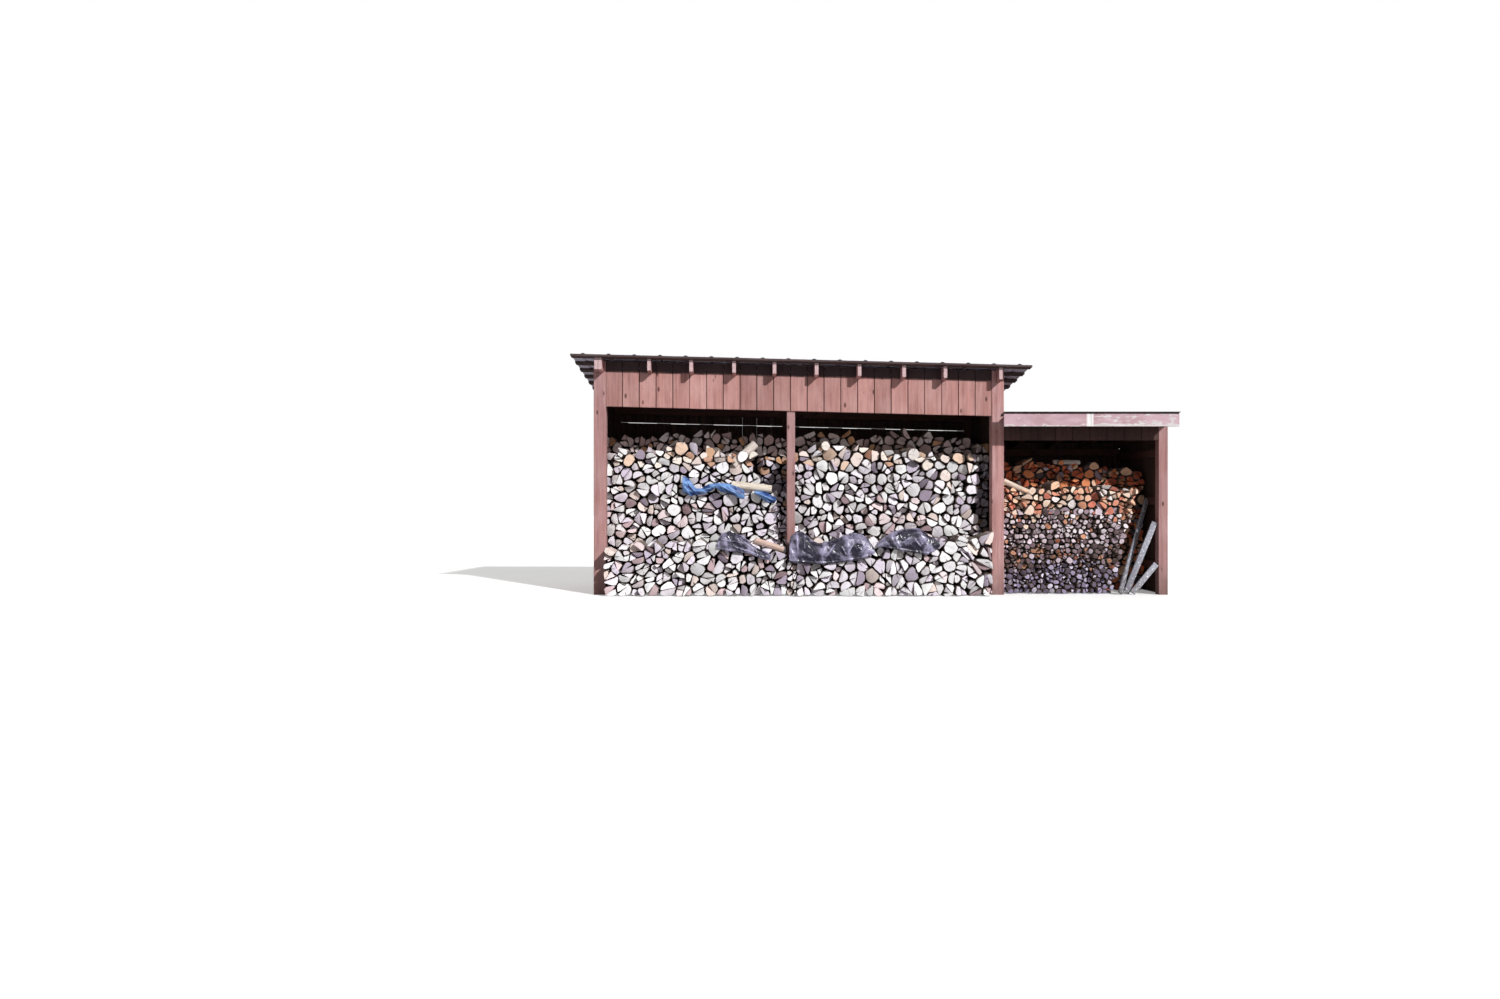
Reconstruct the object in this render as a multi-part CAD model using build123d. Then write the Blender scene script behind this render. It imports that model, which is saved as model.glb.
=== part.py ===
"""Log store: a two-bay lean-to with a lower side bay, filled with split firewood.

Frame, in millimetres: x runs right along the open front, y runs back and z runs up, from an
origin at the foot of the middle front post. The pieces are drawn from the front line, the front
face of the corner posts, and moved to that origin as they are written.
"""
from build123d import *
import os
import random
from math import ceil, hypot

os.makedirs("parts", exist_ok=True)

# Main shed: plan
LEFT_POST_X = -2390.0
RIGHT_POST_X = 2585.0
CORNER_POST = 150.0
MIDDLE_POST = 102.0
REAR_POST = 100.0
SHED_DEPTH = 1900.0

# Main roof: the underside of a rafter over the middle of the front line, and how it falls
RAFTER_UNDERSIDE = 2719.0
ROOF_PITCH = 0.12
ROOF_LEAN = 0.025
RAFTER_WIDTH = 47.0
RAFTER_DEPTH = 147.0
RAFTER_PLY_GAP = 1.0
INNER_RAFTERS = (-1760.0, -1240.0, -710.0, -210.0, 310.0, 840.0, 1390.0, 1900.0)
FRONT_OVERHANG = 150.0
REAR_OVERHANG = 150.0
LEFT_OVERHANG = 260.0
RIGHT_OVERHANG = 301.0

# Main roof: battens and metal panels
BATTEN_WIDTH = 120.0
BATTEN_THICKNESS = 25.0
BATTEN_COUNT = 7
EDGE_PROJECTION = 50.0
PANEL_COUNT = 6
PANEL_GAP = 1.0
PANEL_THICKNESS = 1.5
RIB_SPACING = 310.0
RIB_HEIGHT = 11.0
RIB_BASE = 60.0
RIB_TOP = 24.0

# Beams, boards and rails
BEAM_THICKNESS = 100.0
FRONT_BEAM_DEPTH = 300.0
REAR_BEAM_DEPTH = 150.0
BOARD_THICKNESS = 25.0
BOARD_WIDTH = 203.0
BOARD_GAP = 3.0
BAND_SETBACK = 5.0
BAND_DROP = 120.5
RAIL_THICKNESS = 50.0
RAIL_HEIGHT = 100.0
RAIL_SHARES = (0.13, 0.46, 0.78)
REAR_SLIT_DROP = 113.0
REAR_SLIT = 2.5
BOARD_UNEVENNESS = (0.0, 5.0, 4.0, 0.5, 6.0, 3.0)

# Side bay on the right of the shed
SIDE_POST_X = 4650.0
SIDE_POST = 114.0
SIDE_DEPTH = 1700.0
SIDE_RAFTER_UNDERSIDE = 2102.0
SIDE_PITCH = 0.125
SIDE_RAFTER_DEPTH = 100.0
SIDE_RAFTER_COUNT = 5
SIDE_OVERHANG = 255.0
SIDE_REAR_OVERHANG = 150.0
SIDE_BEAM_DEPTH = 150.0
SIDE_BEAM_THICKNESS = 50.0
SIDE_RAIL_SHARES = (0.16, 0.59, 0.91)
SIDE_REAR_RAIL_SHARES = (0.16, 0.5, 0.85)
SIDE_END_OVERHANG = 28.0
SIDE_LAP = 69.0
HEADER_DROP = 172.0
FASCIA_HEIGHT = 152.0
DECK_THICKNESS = 20.0
DECK_BOARD = 180.0
COVER_THICKNESS = 4.0
COVER_LIP = 12.0

# Firewood: rows of split logs, their ends to the front
LOG_SIZE = 176.0
LOG_JITTER = 0.30
LOG_LENGTH = 385.0
LOG_LENGTH_SPREAD = 18.0
LOG_END_SPREAD = 26.0
LOG_CLEARANCE = 0.4
SHORTEST_CONTACT = 0.38
ROW_PITCH = 440.0
ROW_GAP = 12.0
LOW_ROW_FRONT = -235.0
FRONT_ROW = 200.0
SIDE_ROW = 110.0
LOW_CORE_TOP = 470.0
CORE_REAR_GAP = 20.0
LEFT_RECESS = 430.0
RIGHT_RECESS = 180.0
FRONT_LEFT_EDGE = ((0.0, -150.0), (1330.0, -200.0), (1420.0, -430.0), (1800.0, -450.0), (2000.0, -600.0))
FRONT_RIGHT_EDGE = ((0.0, -210.0), (900.0, -190.0), (1100.0, -240.0), (1500.0, -200.0), (2000.0, -180.0))
SIDE_EDGE = ((0.0, -515.0), (1365.0, -165.0))
LOW_LEFT_TOP = (600.0, 635.0, 675.0, 741.0, 740.0, 640.0)
LOW_RIGHT_TOP = (730.0, 735.0, 740.0, 749.0, 759.0, 712.0, 780.0)
SIDE_LOG_SIZE = 160.0
SIDE_RECESS = 510.0

# Heights of the upper rows, as shares of the clear height under the front boards of their bay
FRONT_LEFT_TOP = (0.767, 0.798, 0.803, 0.797, 0.785, 0.77)
FRONT_RIGHT_TOP = (0.776, 0.803, 0.806, 0.797, 0.784)
BACK_LEFT_TOP = (0.871, 0.887, 0.897, 0.891)
LEFT_RECESS_TOP = (0.889, 0.889)
BACK_RIGHT_TOP = (0.889, 0.894, 0.891, 0.864)
RIGHT_RECESS_TOP = (0.864, 0.854)
LEFT_RECESS_FLOOR = 0.545
BACK_CORE_TOP = 0.735
REAR_CORE_TOP = 0.863
FRONT_SIDE_TOP = (0.694, 0.705, 0.708, 0.703, 0.674)
BACK_SIDE_TOP = (0.881, 0.878, 0.876, 0.844)
SIDE_RECESS_TOP = (0.844, 0.808)
SIDE_BACK_CORE_TOP = 0.643
SIDE_REAR_CORE_TOP = 0.81

# Sheets of plastic hung over the low row, and a blue one trapped in the left stack
SHEET_THICKNESS = 8.0
SHEET_CLEARANCE = 0.3
SHEET_HEMS = {
    "black_sheet_left": [(-900, 660), (-640, 560), (-230, 520)],
    "black_sheet_middle": [(-40, 470), (60, 395), (640, 400), (960, 480)],
    "black_sheet_right": [(1080, 640), (1250, 550), (1600, 515), (1790, 560)],
}
BLUE_OUTLINES = (
    [(-1365, 1490), (-1290, 1470), (-1195, 1330), (-944, 1390), (-744, 1370), (-581, 1305),
     (-594, 1190), (-744, 1230), (-925, 1300), (-1060, 1225), (-1170, 1205), (-1295, 1215), (-1365, 1268)],
    [(-456, 1300), (-318, 1290), (-180, 1210), (-205, 1142), (-318, 1167), (-418, 1242)],
)

# Planks leaning in the side bay
PLANK_WIDTH = 72.0
PLANK_THICKNESS = 26.0
PLANK_CLEARANCE = 0.3
PLANK_LEANS = (
    ((-488.0, 0.0, 0.0), (3.0, 400.0, 1177.0)),
    ((-386.0, 40.0, 0.0), (-23.0, 45.0, 892.0)),
    ((-323.0, 5.0, 0.0), (-23.0, 12.0, 362.0)),
)

FAR = 9000.0
WALL, FLOOR = -1, -2


# Values that follow from the sizes above
SLOPE_LENGTH = hypot(1.0, ROOF_PITCH)
SIDE_SLOPE_LENGTH = hypot(1.0, SIDE_PITCH)
LEFT_FACE = LEFT_POST_X - CORNER_POST / 2
LEFT_INNER = LEFT_POST_X + CORNER_POST / 2
RIGHT_INNER = RIGHT_POST_X - CORNER_POST / 2
RIGHT_FACE = RIGHT_POST_X + CORNER_POST / 2
SIDE_INNER = SIDE_POST_X - SIDE_POST / 2
SIDE_FACE = SIDE_POST_X + SIDE_POST / 2
BEAM_FRONT = BAND_SETBACK + BOARD_THICKNESS
BEAM_BACK = BEAM_FRONT + BEAM_THICKNESS
ORIGIN_DEPTH = BEAM_FRONT + MIDDLE_POST / 2
REAR_BEAM_FRONT = SHED_DEPTH - BEAM_THICKNESS
RAFTER_TOP = RAFTER_UNDERSIDE + RAFTER_DEPTH * SLOPE_LENGTH
BATTEN_TOP = RAFTER_TOP + BATTEN_THICKNESS * SLOPE_LENGTH
FRONT_BEAM_TOP = RAFTER_UNDERSIDE - ROOF_PITCH * BEAM_FRONT
FRONT_BEAM_BOTTOM = FRONT_BEAM_TOP - FRONT_BEAM_DEPTH
REAR_BEAM_TOP = RAFTER_UNDERSIDE - ROOF_PITCH * REAR_BEAM_FRONT
REAR_BEAM_BOTTOM = REAR_BEAM_TOP - REAR_BEAM_DEPTH
BAND_BOTTOM = FRONT_BEAM_BOTTOM - BAND_DROP
SIDE_RAFTER_TOP = SIDE_RAFTER_UNDERSIDE + SIDE_RAFTER_DEPTH * SIDE_SLOPE_LENGTH
SIDE_BEAM_BACK = BEAM_FRONT + SIDE_BEAM_THICKNESS
SIDE_BEAM_TOP = SIDE_RAFTER_UNDERSIDE - SIDE_PITCH * BEAM_FRONT
SIDE_REAR_BEAM_FRONT = SIDE_DEPTH - BEAM_THICKNESS
SIDE_REAR_BEAM_TOP = SIDE_RAFTER_UNDERSIDE - SIDE_PITCH * SIDE_REAR_BEAM_FRONT
SIDE_REAR_BEAM_BOTTOM = SIDE_REAR_BEAM_TOP - SIDE_RAFTER_DEPTH
HEADER_BOTTOM = SIDE_RAFTER_UNDERSIDE - HEADER_DROP
REAR_SLIT_TOP = REAR_BEAM_BOTTOM - REAR_SLIT_DROP
REAR_CLEAR = REAR_BEAM_BOTTOM - ROOF_LEAN * RIGHT_FACE
RAIL_LEVELS = [share * REAR_CLEAR for share in RAIL_SHARES]
SIDE_RAIL_LEVELS = [share * SIDE_REAR_BEAM_TOP for share in SIDE_RAIL_SHARES]
SIDE_REAR_RAIL_LEVELS = [share * SIDE_REAR_BEAM_BOTTOM for share in SIDE_REAR_RAIL_SHARES]
SIDE_RAIL_X = SIDE_FACE - BOARD_THICKNESS - RAIL_THICKNESS
SIDE_REAR = SIDE_DEPTH - REAR_POST
STACK_LEFT = LEFT_FACE + BOARD_THICKNESS + RAIL_THICKNESS
STACK_RIGHT = RIGHT_FACE - BOARD_THICKNESS - RAIL_THICKNESS
SECOND_ROW = FRONT_ROW + ROW_PITCH
SHEET_FRONT = LOW_ROW_FRONT - LOG_END_SPREAD - SHEET_THICKNESS
BLUE_FRONT = FRONT_ROW - LOG_END_SPREAD - SHEET_THICKNESS


# Shaping helpers

def block(x0, x1, y0, y1, z0, z1):
    """A squared timber between two corners."""
    return Pos(x0, y0, z0) * Box(x1 - x0, y1 - y0, z1 - z0, align=(Align.MIN,) * 3)


def front_prism(outline, y0, y1):
    """Extrude an (x, z) outline from y0 back to y1."""
    plane = Plane(origin=(0, y0, 0), x_dir=(1, 0, 0), z_dir=(0, -1, 0))
    return extrude(plane * Polygon(*outline, align=None), amount=y1 - y0, dir=(0, 1, 0))


def side_prism(outline, x0, x1, lean=0.0):
    """Extrude a (y, z) outline, given over x = 0, from x0 to x1, falling to the right by lean."""
    plane = Plane(origin=(x0, 0, -lean * x0), x_dir=(0, 1, 0), z_dir=(1, 0, 0))
    run = hypot(1.0, lean) * (x1 - x0)
    return extrude(plane * Polygon(*outline, align=None), amount=run, dir=(1, 0, -lean))


def trimmed(solid, height, pitch, lean):
    """Cut a solid off at the plane that falls by pitch to the back and by lean to the right."""
    plane = Plane(origin=(0, 0, height), z_dir=(lean, pitch, 1))
    return split(solid, bisect_by=plane, keep=Keep.BOTTOM)


def board_edges(start, end, width=BOARD_WIDTH, gap=BOARD_GAP):
    """Both edges of each board that fills a wall between start and end."""
    count = max(1, round((end - start + gap) / (width + gap)))
    pitch = (end - start + gap) / count
    return [(start + i * pitch, start + (i + 1) * pitch - gap) for i in range(count)]


def save(name, shapes):
    """Write one sub-part, moved from the front line to the origin; like pieces share a file."""
    solids = [Pos(0, -ORIGIN_DEPTH, 0) * solid for shape in shapes for solid in shape.solids()]
    part = solids[0] if len(solids) == 1 else Compound(children=solids)
    part.label = name
    export_step(part, f"parts/{name}.step")


# Main shed: frame

def rafter_outline(front_seat):
    """Side outline of a rafter, notched over the rear beam and, where asked, the front beam."""
    def underside(y):
        return RAFTER_UNDERSIDE - ROOF_PITCH * y

    front, rear = -FRONT_OVERHANG, SHED_DEPTH + REAR_OVERHANG
    plumb = RAFTER_TOP - RAFTER_UNDERSIDE
    outline = [(front, underside(front))]
    if front_seat:
        outline += [(BEAM_FRONT, FRONT_BEAM_TOP), (BEAM_BACK, FRONT_BEAM_TOP), (BEAM_BACK, underside(BEAM_BACK))]
    outline += [(REAR_BEAM_FRONT, REAR_BEAM_TOP), (SHED_DEPTH, REAR_BEAM_TOP), (SHED_DEPTH, underside(SHED_DEPTH))]
    return outline + [(rear, underside(rear)), (rear, underside(rear) + plumb), (front, underside(front) + plumb)]


def end_rafters():
    """The doubled rafter over the left posts and the single one over the right posts."""
    reach = RAFTER_WIDTH + RAFTER_PLY_GAP / 2
    spans = [
        (LEFT_POST_X - reach, LEFT_POST_X - RAFTER_PLY_GAP / 2),
        (LEFT_POST_X + RAFTER_PLY_GAP / 2, LEFT_POST_X + reach),
        (RIGHT_POST_X - RAFTER_WIDTH / 2, RIGHT_POST_X + RAFTER_WIDTH / 2),
    ]
    return [side_prism(rafter_outline(False), x0, x1, ROOF_LEAN) for x0, x1 in spans]


def inner_rafters():
    half = RAFTER_WIDTH / 2
    return [side_prism(rafter_outline(True), x - half, x + half, ROOF_LEAN) for x in INNER_RAFTERS]


def rafter_slot(x, width):
    """The space over a corner post that the end rafter lies in."""
    low = RAFTER_UNDERSIDE
    outline = [(-FAR, low + ROOF_PITCH * FAR), (FAR, low - ROOF_PITCH * FAR), (FAR, FAR), (-FAR, FAR)]
    return side_prism(outline, x - width / 2, x + width / 2, ROOF_LEAN)


def corner_post(x, rafter_width):
    """A square post that rises beside its rafter to the underside of the battens."""
    half = CORNER_POST / 2
    post = trimmed(block(x - half, x + half, 0, CORNER_POST, 0, FAR), RAFTER_TOP, ROOF_PITCH, ROOF_LEAN)
    return post - rafter_slot(x, rafter_width)


def middle_post():
    half = MIDDLE_POST / 2
    post = block(-half, half, BEAM_FRONT, BEAM_FRONT + MIDDLE_POST, 0, FAR)
    return trimmed(post, FRONT_BEAM_BOTTOM, 0, ROOF_LEAN)


def rear_posts():
    lefts = (LEFT_FACE, -REAR_POST / 2, RIGHT_FACE - REAR_POST)
    posts = [block(x, x + REAR_POST, SHED_DEPTH - REAR_POST, SHED_DEPTH, 0, FAR) for x in lefts]
    return [trimmed(post, REAR_BEAM_BOTTOM, 0, ROOF_LEAN) for post in posts]


def beam(x0, x1, y0, y1, bottom, top, lean):
    return side_prism([(y0, bottom), (y1, bottom), (y1, top), (y0, top)], x0, x1, lean)


# Main shed: roof and boarding

def roof_battens():
    """Boards laid flat across the rafters, the first one forming the front edge."""
    left, right = LEFT_FACE - LEFT_OVERHANG, RIGHT_FACE + RIGHT_OVERHANG
    first = -FRONT_OVERHANG - EDGE_PROJECTION
    last = SHED_DEPTH + REAR_OVERHANG - BATTEN_WIDTH / SLOPE_LENGTH
    battens = []
    for i in range(BATTEN_COUNT):
        y0 = first + (last - first) * i / (BATTEN_COUNT - 1)
        y1 = y0 + BATTEN_WIDTH / SLOPE_LENGTH
        corners = [(y0, RAFTER_TOP), (y1, RAFTER_TOP), (y1, BATTEN_TOP), (y0, BATTEN_TOP)]
        outline = [(y, z - ROOF_PITCH * y) for y, z in corners]
        battens.append(side_prism(outline, left, right, ROOF_LEAN))
    return battens


def panel_profile(width):
    """Section of a metal panel across its ribs, as (across, up) points of a closed outline."""
    count = max(1, round(width / RIB_SPACING))
    pitch = width / count
    top = [(0.0, 0.0)]
    for i in range(count):
        centre = (i + 0.5) * pitch
        top += [(centre - RIB_BASE / 2, 0.0), (centre - RIB_TOP / 2, RIB_HEIGHT)]
        top += [(centre + RIB_TOP / 2, RIB_HEIGHT), (centre + RIB_BASE / 2, 0.0)]
    top.append((width, 0.0))
    return top + [(x, z + PANEL_THICKNESS) for x, z in reversed(top)]


def roof_panels():
    """Ribbed metal panels, each running from the front edge down to the rear edge."""
    left, right = LEFT_FACE - LEFT_OVERHANG, RIGHT_FACE + RIGHT_OVERHANG
    front = -FRONT_OVERHANG - EDGE_PROJECTION
    run = SHED_DEPTH + REAR_OVERHANG - front
    panels = []
    for x0, x1 in board_edges(left, right, (right - left) / PANEL_COUNT - PANEL_GAP, PANEL_GAP):
        base = BATTEN_TOP - ROOF_PITCH * front
        outline = [(x0 + x, base + z - ROOF_LEAN * (x0 + x)) for x, z in panel_profile(x1 - x0)]
        plane = Plane(origin=(0, front, 0), x_dir=(1, 0, 0), z_dir=(0, -1, 0))
        face = plane * Polygon(*outline, align=None)
        panels.append(extrude(face, amount=run * SLOPE_LENGTH, dir=(0, 1, -ROOF_PITCH)))
    return panels


def notched_boards(edges, y0, bottom, top, pitch, lean, rafters):
    """Upright boards from a leaning foot line up to the roof, notched round the rafters."""
    boards = []
    for x0, x1 in edges:
        foot = [(x0, bottom - lean * x0), (x1, bottom - lean * x1)]
        board = front_prism(foot + [(x1, FAR), (x0, FAR)], y0, y0 + BOARD_THICKNESS)
        board = trimmed(board, top, pitch, lean)
        near = [rafter for rafter in rafters if rafter_overlaps(rafter, x0, x1)]
        boards.append(board - near if near else board)
    return boards


def rafter_overlaps(rafter, x0, x1):
    box = rafter.bounding_box()
    return box.max.X > x0 and box.min.X < x1


def side_boards(x0, front, rear, top, pitch, lean):
    """Upright boards of a side wall, cut to the slope of the roof."""
    return [
        trimmed(block(x0, x0 + BOARD_THICKNESS, y0, y1, 0, FAR), top, pitch, lean)
        for y0, y1 in board_edges(front, rear)
    ]


def rear_boards(rafters):
    """Boards up to a slit that lets daylight in, and short boards over it up to the roof."""
    edges = board_edges(LEFT_FACE, RIGHT_FACE)
    boards = notched_boards(edges, SHED_DEPTH, REAR_SLIT_TOP, RAFTER_TOP, ROOF_PITCH, ROOF_LEAN, rafters)
    for i, (x0, x1) in enumerate(edges):
        board = block(x0, x1, SHED_DEPTH, SHED_DEPTH + BOARD_THICKNESS, 0, FAR)
        top = REAR_SLIT_TOP - REAR_SLIT - BOARD_UNEVENNESS[i % len(BOARD_UNEVENNESS)]
        boards.append(trimmed(board, top, 0, ROOF_LEAN))
    return boards


def rails(spans, y0, y1, levels):
    """Level rails that the wall boards are nailed to."""
    return [block(x0, x1, y0, y1, z, z + RAIL_HEIGHT) for x0, x1 in spans for z in levels]


# Side bay

def side_rafter_outline():
    def underside(y):
        return SIDE_RAFTER_UNDERSIDE - SIDE_PITCH * y

    front, rear = -SIDE_OVERHANG, SIDE_DEPTH + SIDE_REAR_OVERHANG
    plumb = SIDE_RAFTER_TOP - SIDE_RAFTER_UNDERSIDE
    outline = [(front, underside(front))]
    outline += [(BEAM_FRONT, SIDE_BEAM_TOP), (SIDE_BEAM_BACK, SIDE_BEAM_TOP)]
    outline += [(SIDE_BEAM_BACK, underside(SIDE_BEAM_BACK)), (SIDE_REAR_BEAM_FRONT, SIDE_REAR_BEAM_TOP)]
    outline += [(SIDE_DEPTH, SIDE_REAR_BEAM_TOP), (SIDE_DEPTH, underside(SIDE_DEPTH))]
    return outline + [(rear, underside(rear)), (rear, underside(rear) + plumb), (front, underside(front) + plumb)]


def side_rafters():
    first, last = RIGHT_FACE + RAFTER_WIDTH / 2, SIDE_POST_X
    centres = [first + (last - first) * i / (SIDE_RAFTER_COUNT - 1) for i in range(SIDE_RAFTER_COUNT)]
    half = RAFTER_WIDTH / 2
    return [side_prism(side_rafter_outline(), x - half, x + half) for x in centres]


def side_front_post(end_rafter):
    post = block(SIDE_INNER, SIDE_FACE, 0, SIDE_POST, 0, FAR)
    return trimmed(post, SIDE_RAFTER_TOP, SIDE_PITCH, 0) - end_rafter


def side_slab(y0, y1, x0, x1, base, thickness):
    """A piece that lies on the side bay's roof slope."""
    rise = thickness * SIDE_SLOPE_LENGTH
    corners = [(y0, base), (y1, base), (y1, base + rise), (y0, base + rise)]
    return side_prism([(y, z - SIDE_PITCH * y) for y, z in corners], x0, x1)


def side_roof():
    """Deck boards along the side bay's roof, the first one lapping the corner post, and their covering."""
    front = -SIDE_OVERHANG - BOARD_THICKNESS
    rear = SIDE_DEPTH + SIDE_REAR_OVERHANG
    right = SIDE_FACE + SIDE_END_OVERHANG
    courses = board_edges(front, rear, DECK_BOARD)
    lap = courses[0][1]
    lefts = [RIGHT_FACE - SIDE_LAP if y1 <= lap else RIGHT_FACE for _, y1 in courses]
    deck = [
        side_slab(y0, y1, x0, right, SIDE_RAFTER_TOP, DECK_THICKNESS)
        for (y0, y1), x0 in zip(courses, lefts)
    ]
    cover_base = SIDE_RAFTER_TOP + DECK_THICKNESS * SIDE_SLOPE_LENGTH
    right += COVER_LIP
    cover = side_slab(lap, rear + COVER_LIP, RIGHT_FACE, right, cover_base, COVER_THICKNESS)
    cover += side_slab(front - COVER_LIP, lap, RIGHT_FACE - SIDE_LAP, right, cover_base, COVER_THICKNESS)
    return deck, cover


def side_fascia():
    """Two boards across the rafter ends, butted over a rafter."""
    top = SIDE_RAFTER_TOP + SIDE_PITCH * SIDE_OVERHANG
    joint = RIGHT_FACE + (SIDE_POST_X - RIGHT_FACE) / 2
    spans = [(RIGHT_FACE - SIDE_LAP, joint - BOARD_GAP / 2), (joint + BOARD_GAP / 2, SIDE_FACE + SIDE_END_OVERHANG)]
    front, back = -SIDE_OVERHANG - BOARD_THICKNESS, -SIDE_OVERHANG
    return [block(x0, x1, front, back, top - FASCIA_HEIGHT, top) for x0, x1 in spans]


def side_header():
    """Short upright boards under the side bay's rafters, hung on the beam."""
    back = BAND_SETBACK + BOARD_THICKNESS
    top = SIDE_RAFTER_UNDERSIDE - SIDE_PITCH * back
    return [block(x0, x1, BAND_SETBACK, back, HEADER_BOTTOM, top) for x0, x1 in board_edges(RIGHT_FACE, SIDE_INNER)]


# Firewood: each stack is shared out into cells, and a log touches its neighbours at cell edges

def cut_cell(cell, px, pz, nx, nz, tag):
    """Cut a convex cell (x, z, tag of the edge that starts there) by the line through p."""
    kept = []
    for (ax, az, edge), (bx, bz, _) in zip(cell, cell[1:] + cell[:1]):
        a_side = (ax - px) * nx + (az - pz) * nz
        b_side = (bx - px) * nx + (bz - pz) * nz
        crosses = (a_side <= 0) != (b_side <= 0)
        if a_side <= 0:
            kept.append((ax, az, edge))
        if crosses:
            t = a_side / (a_side - b_side)
            start = tag if a_side <= 0 else edge
            kept.append((ax + t * (bx - ax), az + t * (bz - az), start))
    return kept


def cell_of(index, seeds, corners, reach):
    """The part of the stack that is nearer to one seed than to any other."""
    x0, x1, z0, z1 = corners
    sx, sz = seeds[index]
    cell = [(x0, z0, FLOOR), (x1, z0, WALL), (x1, z1, WALL), (x0, z1, WALL)]
    for other, (ox, oz) in enumerate(seeds):
        if other != index and hypot(ox - sx, oz - sz) < reach:
            cell = cut_cell(cell, (sx + ox) / 2, (sz + oz) / 2, ox - sx, oz - sz, other)
    return cell


def centre_of(cell):
    return sum(x for x, _, _ in cell) / len(cell), sum(z for _, z, _ in cell) / len(cell)


def stack_cells(corners, size, rng):
    """Share out a rectangle of stack into cells of about one log each."""
    x0, x1, z0, z1 = corners
    columns = max(2, round((x1 - x0) / size))
    courses = max(1, ceil((z1 - z0) / (size * 0.87)))
    step, rise = (x1 - x0) / columns, (z1 - z0) / courses
    seeds = []
    for course in range(courses):
        for column in range(columns):
            x = x0 + (column + (0.3 if course % 2 else 0.7) + rng.uniform(-LOG_JITTER, LOG_JITTER)) * step
            z = z0 + (course + 0.5 + rng.uniform(-LOG_JITTER, LOG_JITTER)) * rise
            seeds.append((min(max(x, x0 + 0.1 * step), x1 - 0.1 * step), z))
    seeds = [centre_of(cell_of(i, seeds, corners, 3 * size)) for i in range(len(seeds))]
    return [cell_of(i, seeds, corners, 3 * size) for i in range(len(seeds))]


def log_outline(cell, size):
    """A log's end: one point on each long cell edge, and a flat base where it lies on the floor."""
    cx, cz = centre_of(cell)
    points = []
    for (ax, az, edge), (bx, bz, _) in zip(cell, cell[1:] + cell[:1]):
        if hypot(bx - ax, bz - az) > SHORTEST_CONTACT * size:
            points += [(ax + (bx - ax) * t, az + (bz - az) * t) for t in ((0.2, 0.8) if edge == FLOOR else (0.5,))]
    pulled = []
    for x, z in points:
        reach = hypot(x - cx, z - cz)
        pulled.append((x + (cx - x) / reach * LOG_CLEARANCE / 2, z + (cz - z) / reach * LOG_CLEARANCE / 2))
    return pulled


def line_height(line, x):
    """Height of a broken line of (x, z) points over x."""
    for (ax, az), (bx, bz) in zip(line, line[1:]):
        if x <= bx:
            return az + (bz - az) * max(0.0, x - ax) / (bx - ax)
    return line[-1][1]


def log_stack(seed, top_line, z0, front, size=LOG_SIZE, right_edge=None, sheets=()):
    """Split logs from z0 up to a broken top line, behind any sheet that hangs in front."""
    rng = random.Random(seed)
    x0, x1 = top_line[0][0], top_line[-1][0]
    highest = max(z for _, z in top_line) + size / 2
    logs = []
    for cell in stack_cells((x0, x1, z0, highest), size, rng):
        cx, cz = centre_of(cell)
        outline = log_outline(cell, size)
        start = front + rng.uniform(-LOG_END_SPREAD, LOG_END_SPREAD)
        end = front + LOG_LENGTH + rng.uniform(-LOG_LENGTH_SPREAD, LOG_LENGTH_SPREAD)
        for x_min, x_max, z_min, z_max, back in sheets:
            if x_min < cx < x_max and z_min < cz < z_max:
                start = back + SHEET_CLEARANCE
        too_high = cz > line_height(top_line, cx)
        too_far = right_edge is not None and cx > line_height(right_edge, cz)
        if not too_high and not too_far and len(outline) > 2:
            logs.append(front_prism(outline, start, end))
    return logs


def core(x0, x1, front, steps, rear):
    """The rows behind, as one mass that steps up from row to row."""
    outline = [(front, 0.0), (front, steps[0])]
    for row, (height, next_height) in enumerate(zip(steps, steps[1:]), 1):
        outline += [(front + row * ROW_PITCH, height), (front + row * ROW_PITCH, next_height)]
    return side_prism(outline + [(rear, steps[-1]), (rear, 0.0)], x0, x1)


def top_line(x0, x1, heights):
    """A broken line of (x, z) points, evenly spaced from x0 to x1."""
    step = (x1 - x0) / (len(heights) - 1)
    return [(x0 + i * step, height) for i, height in enumerate(heights)]


def under_band(shares):
    return [share * BAND_BOTTOM for share in shares]


def under_header(shares):
    return [share * HEADER_BOTTOM for share in shares]


# Plastic sheets and planks

def top_of(logs, x0, x1):
    """Height of the highest log between x0 and x1."""
    boxes = [log.bounding_box() for log in logs]
    return max(box.max.Z for box in boxes if box.max.X > x0 and box.min.X < x1)


def hung_sheet(hem, logs):
    """A sheet that lies on the low row and hangs down its front to a hem of (x, z) points."""
    x0, x1 = hem[0][0], hem[-1][0]
    rest = top_of(logs, x0, x1) + SHEET_CLEARANCE
    top = rest + SHEET_THICKNESS
    drop = front_prism(hem + [(x1, top), (x0, top)], SHEET_FRONT, SHEET_FRONT + SHEET_THICKNESS)
    return drop + block(x0, x1, SHEET_FRONT, 0, rest, top)


def plank(foot, head, rest):
    """A plank from foot to head, given from the side post's inner face, its head against the plane x = rest."""
    dx, dy, dz = (b - a for a, b in zip(foot, head))
    length = hypot(dx, dy, dz)
    lie = Plane(origin=foot, x_dir=(dx, dy, dz), z_dir=(dy, -dx, 0))
    board = lie * Box(length, PLANK_WIDTH, PLANK_THICKNESS, align=(Align.MIN, Align.CENTER, Align.CENTER))
    box = board.bounding_box()
    return Pos(rest - PLANK_CLEARANCE - box.max.X, 0, -box.min.Z) * board


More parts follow.
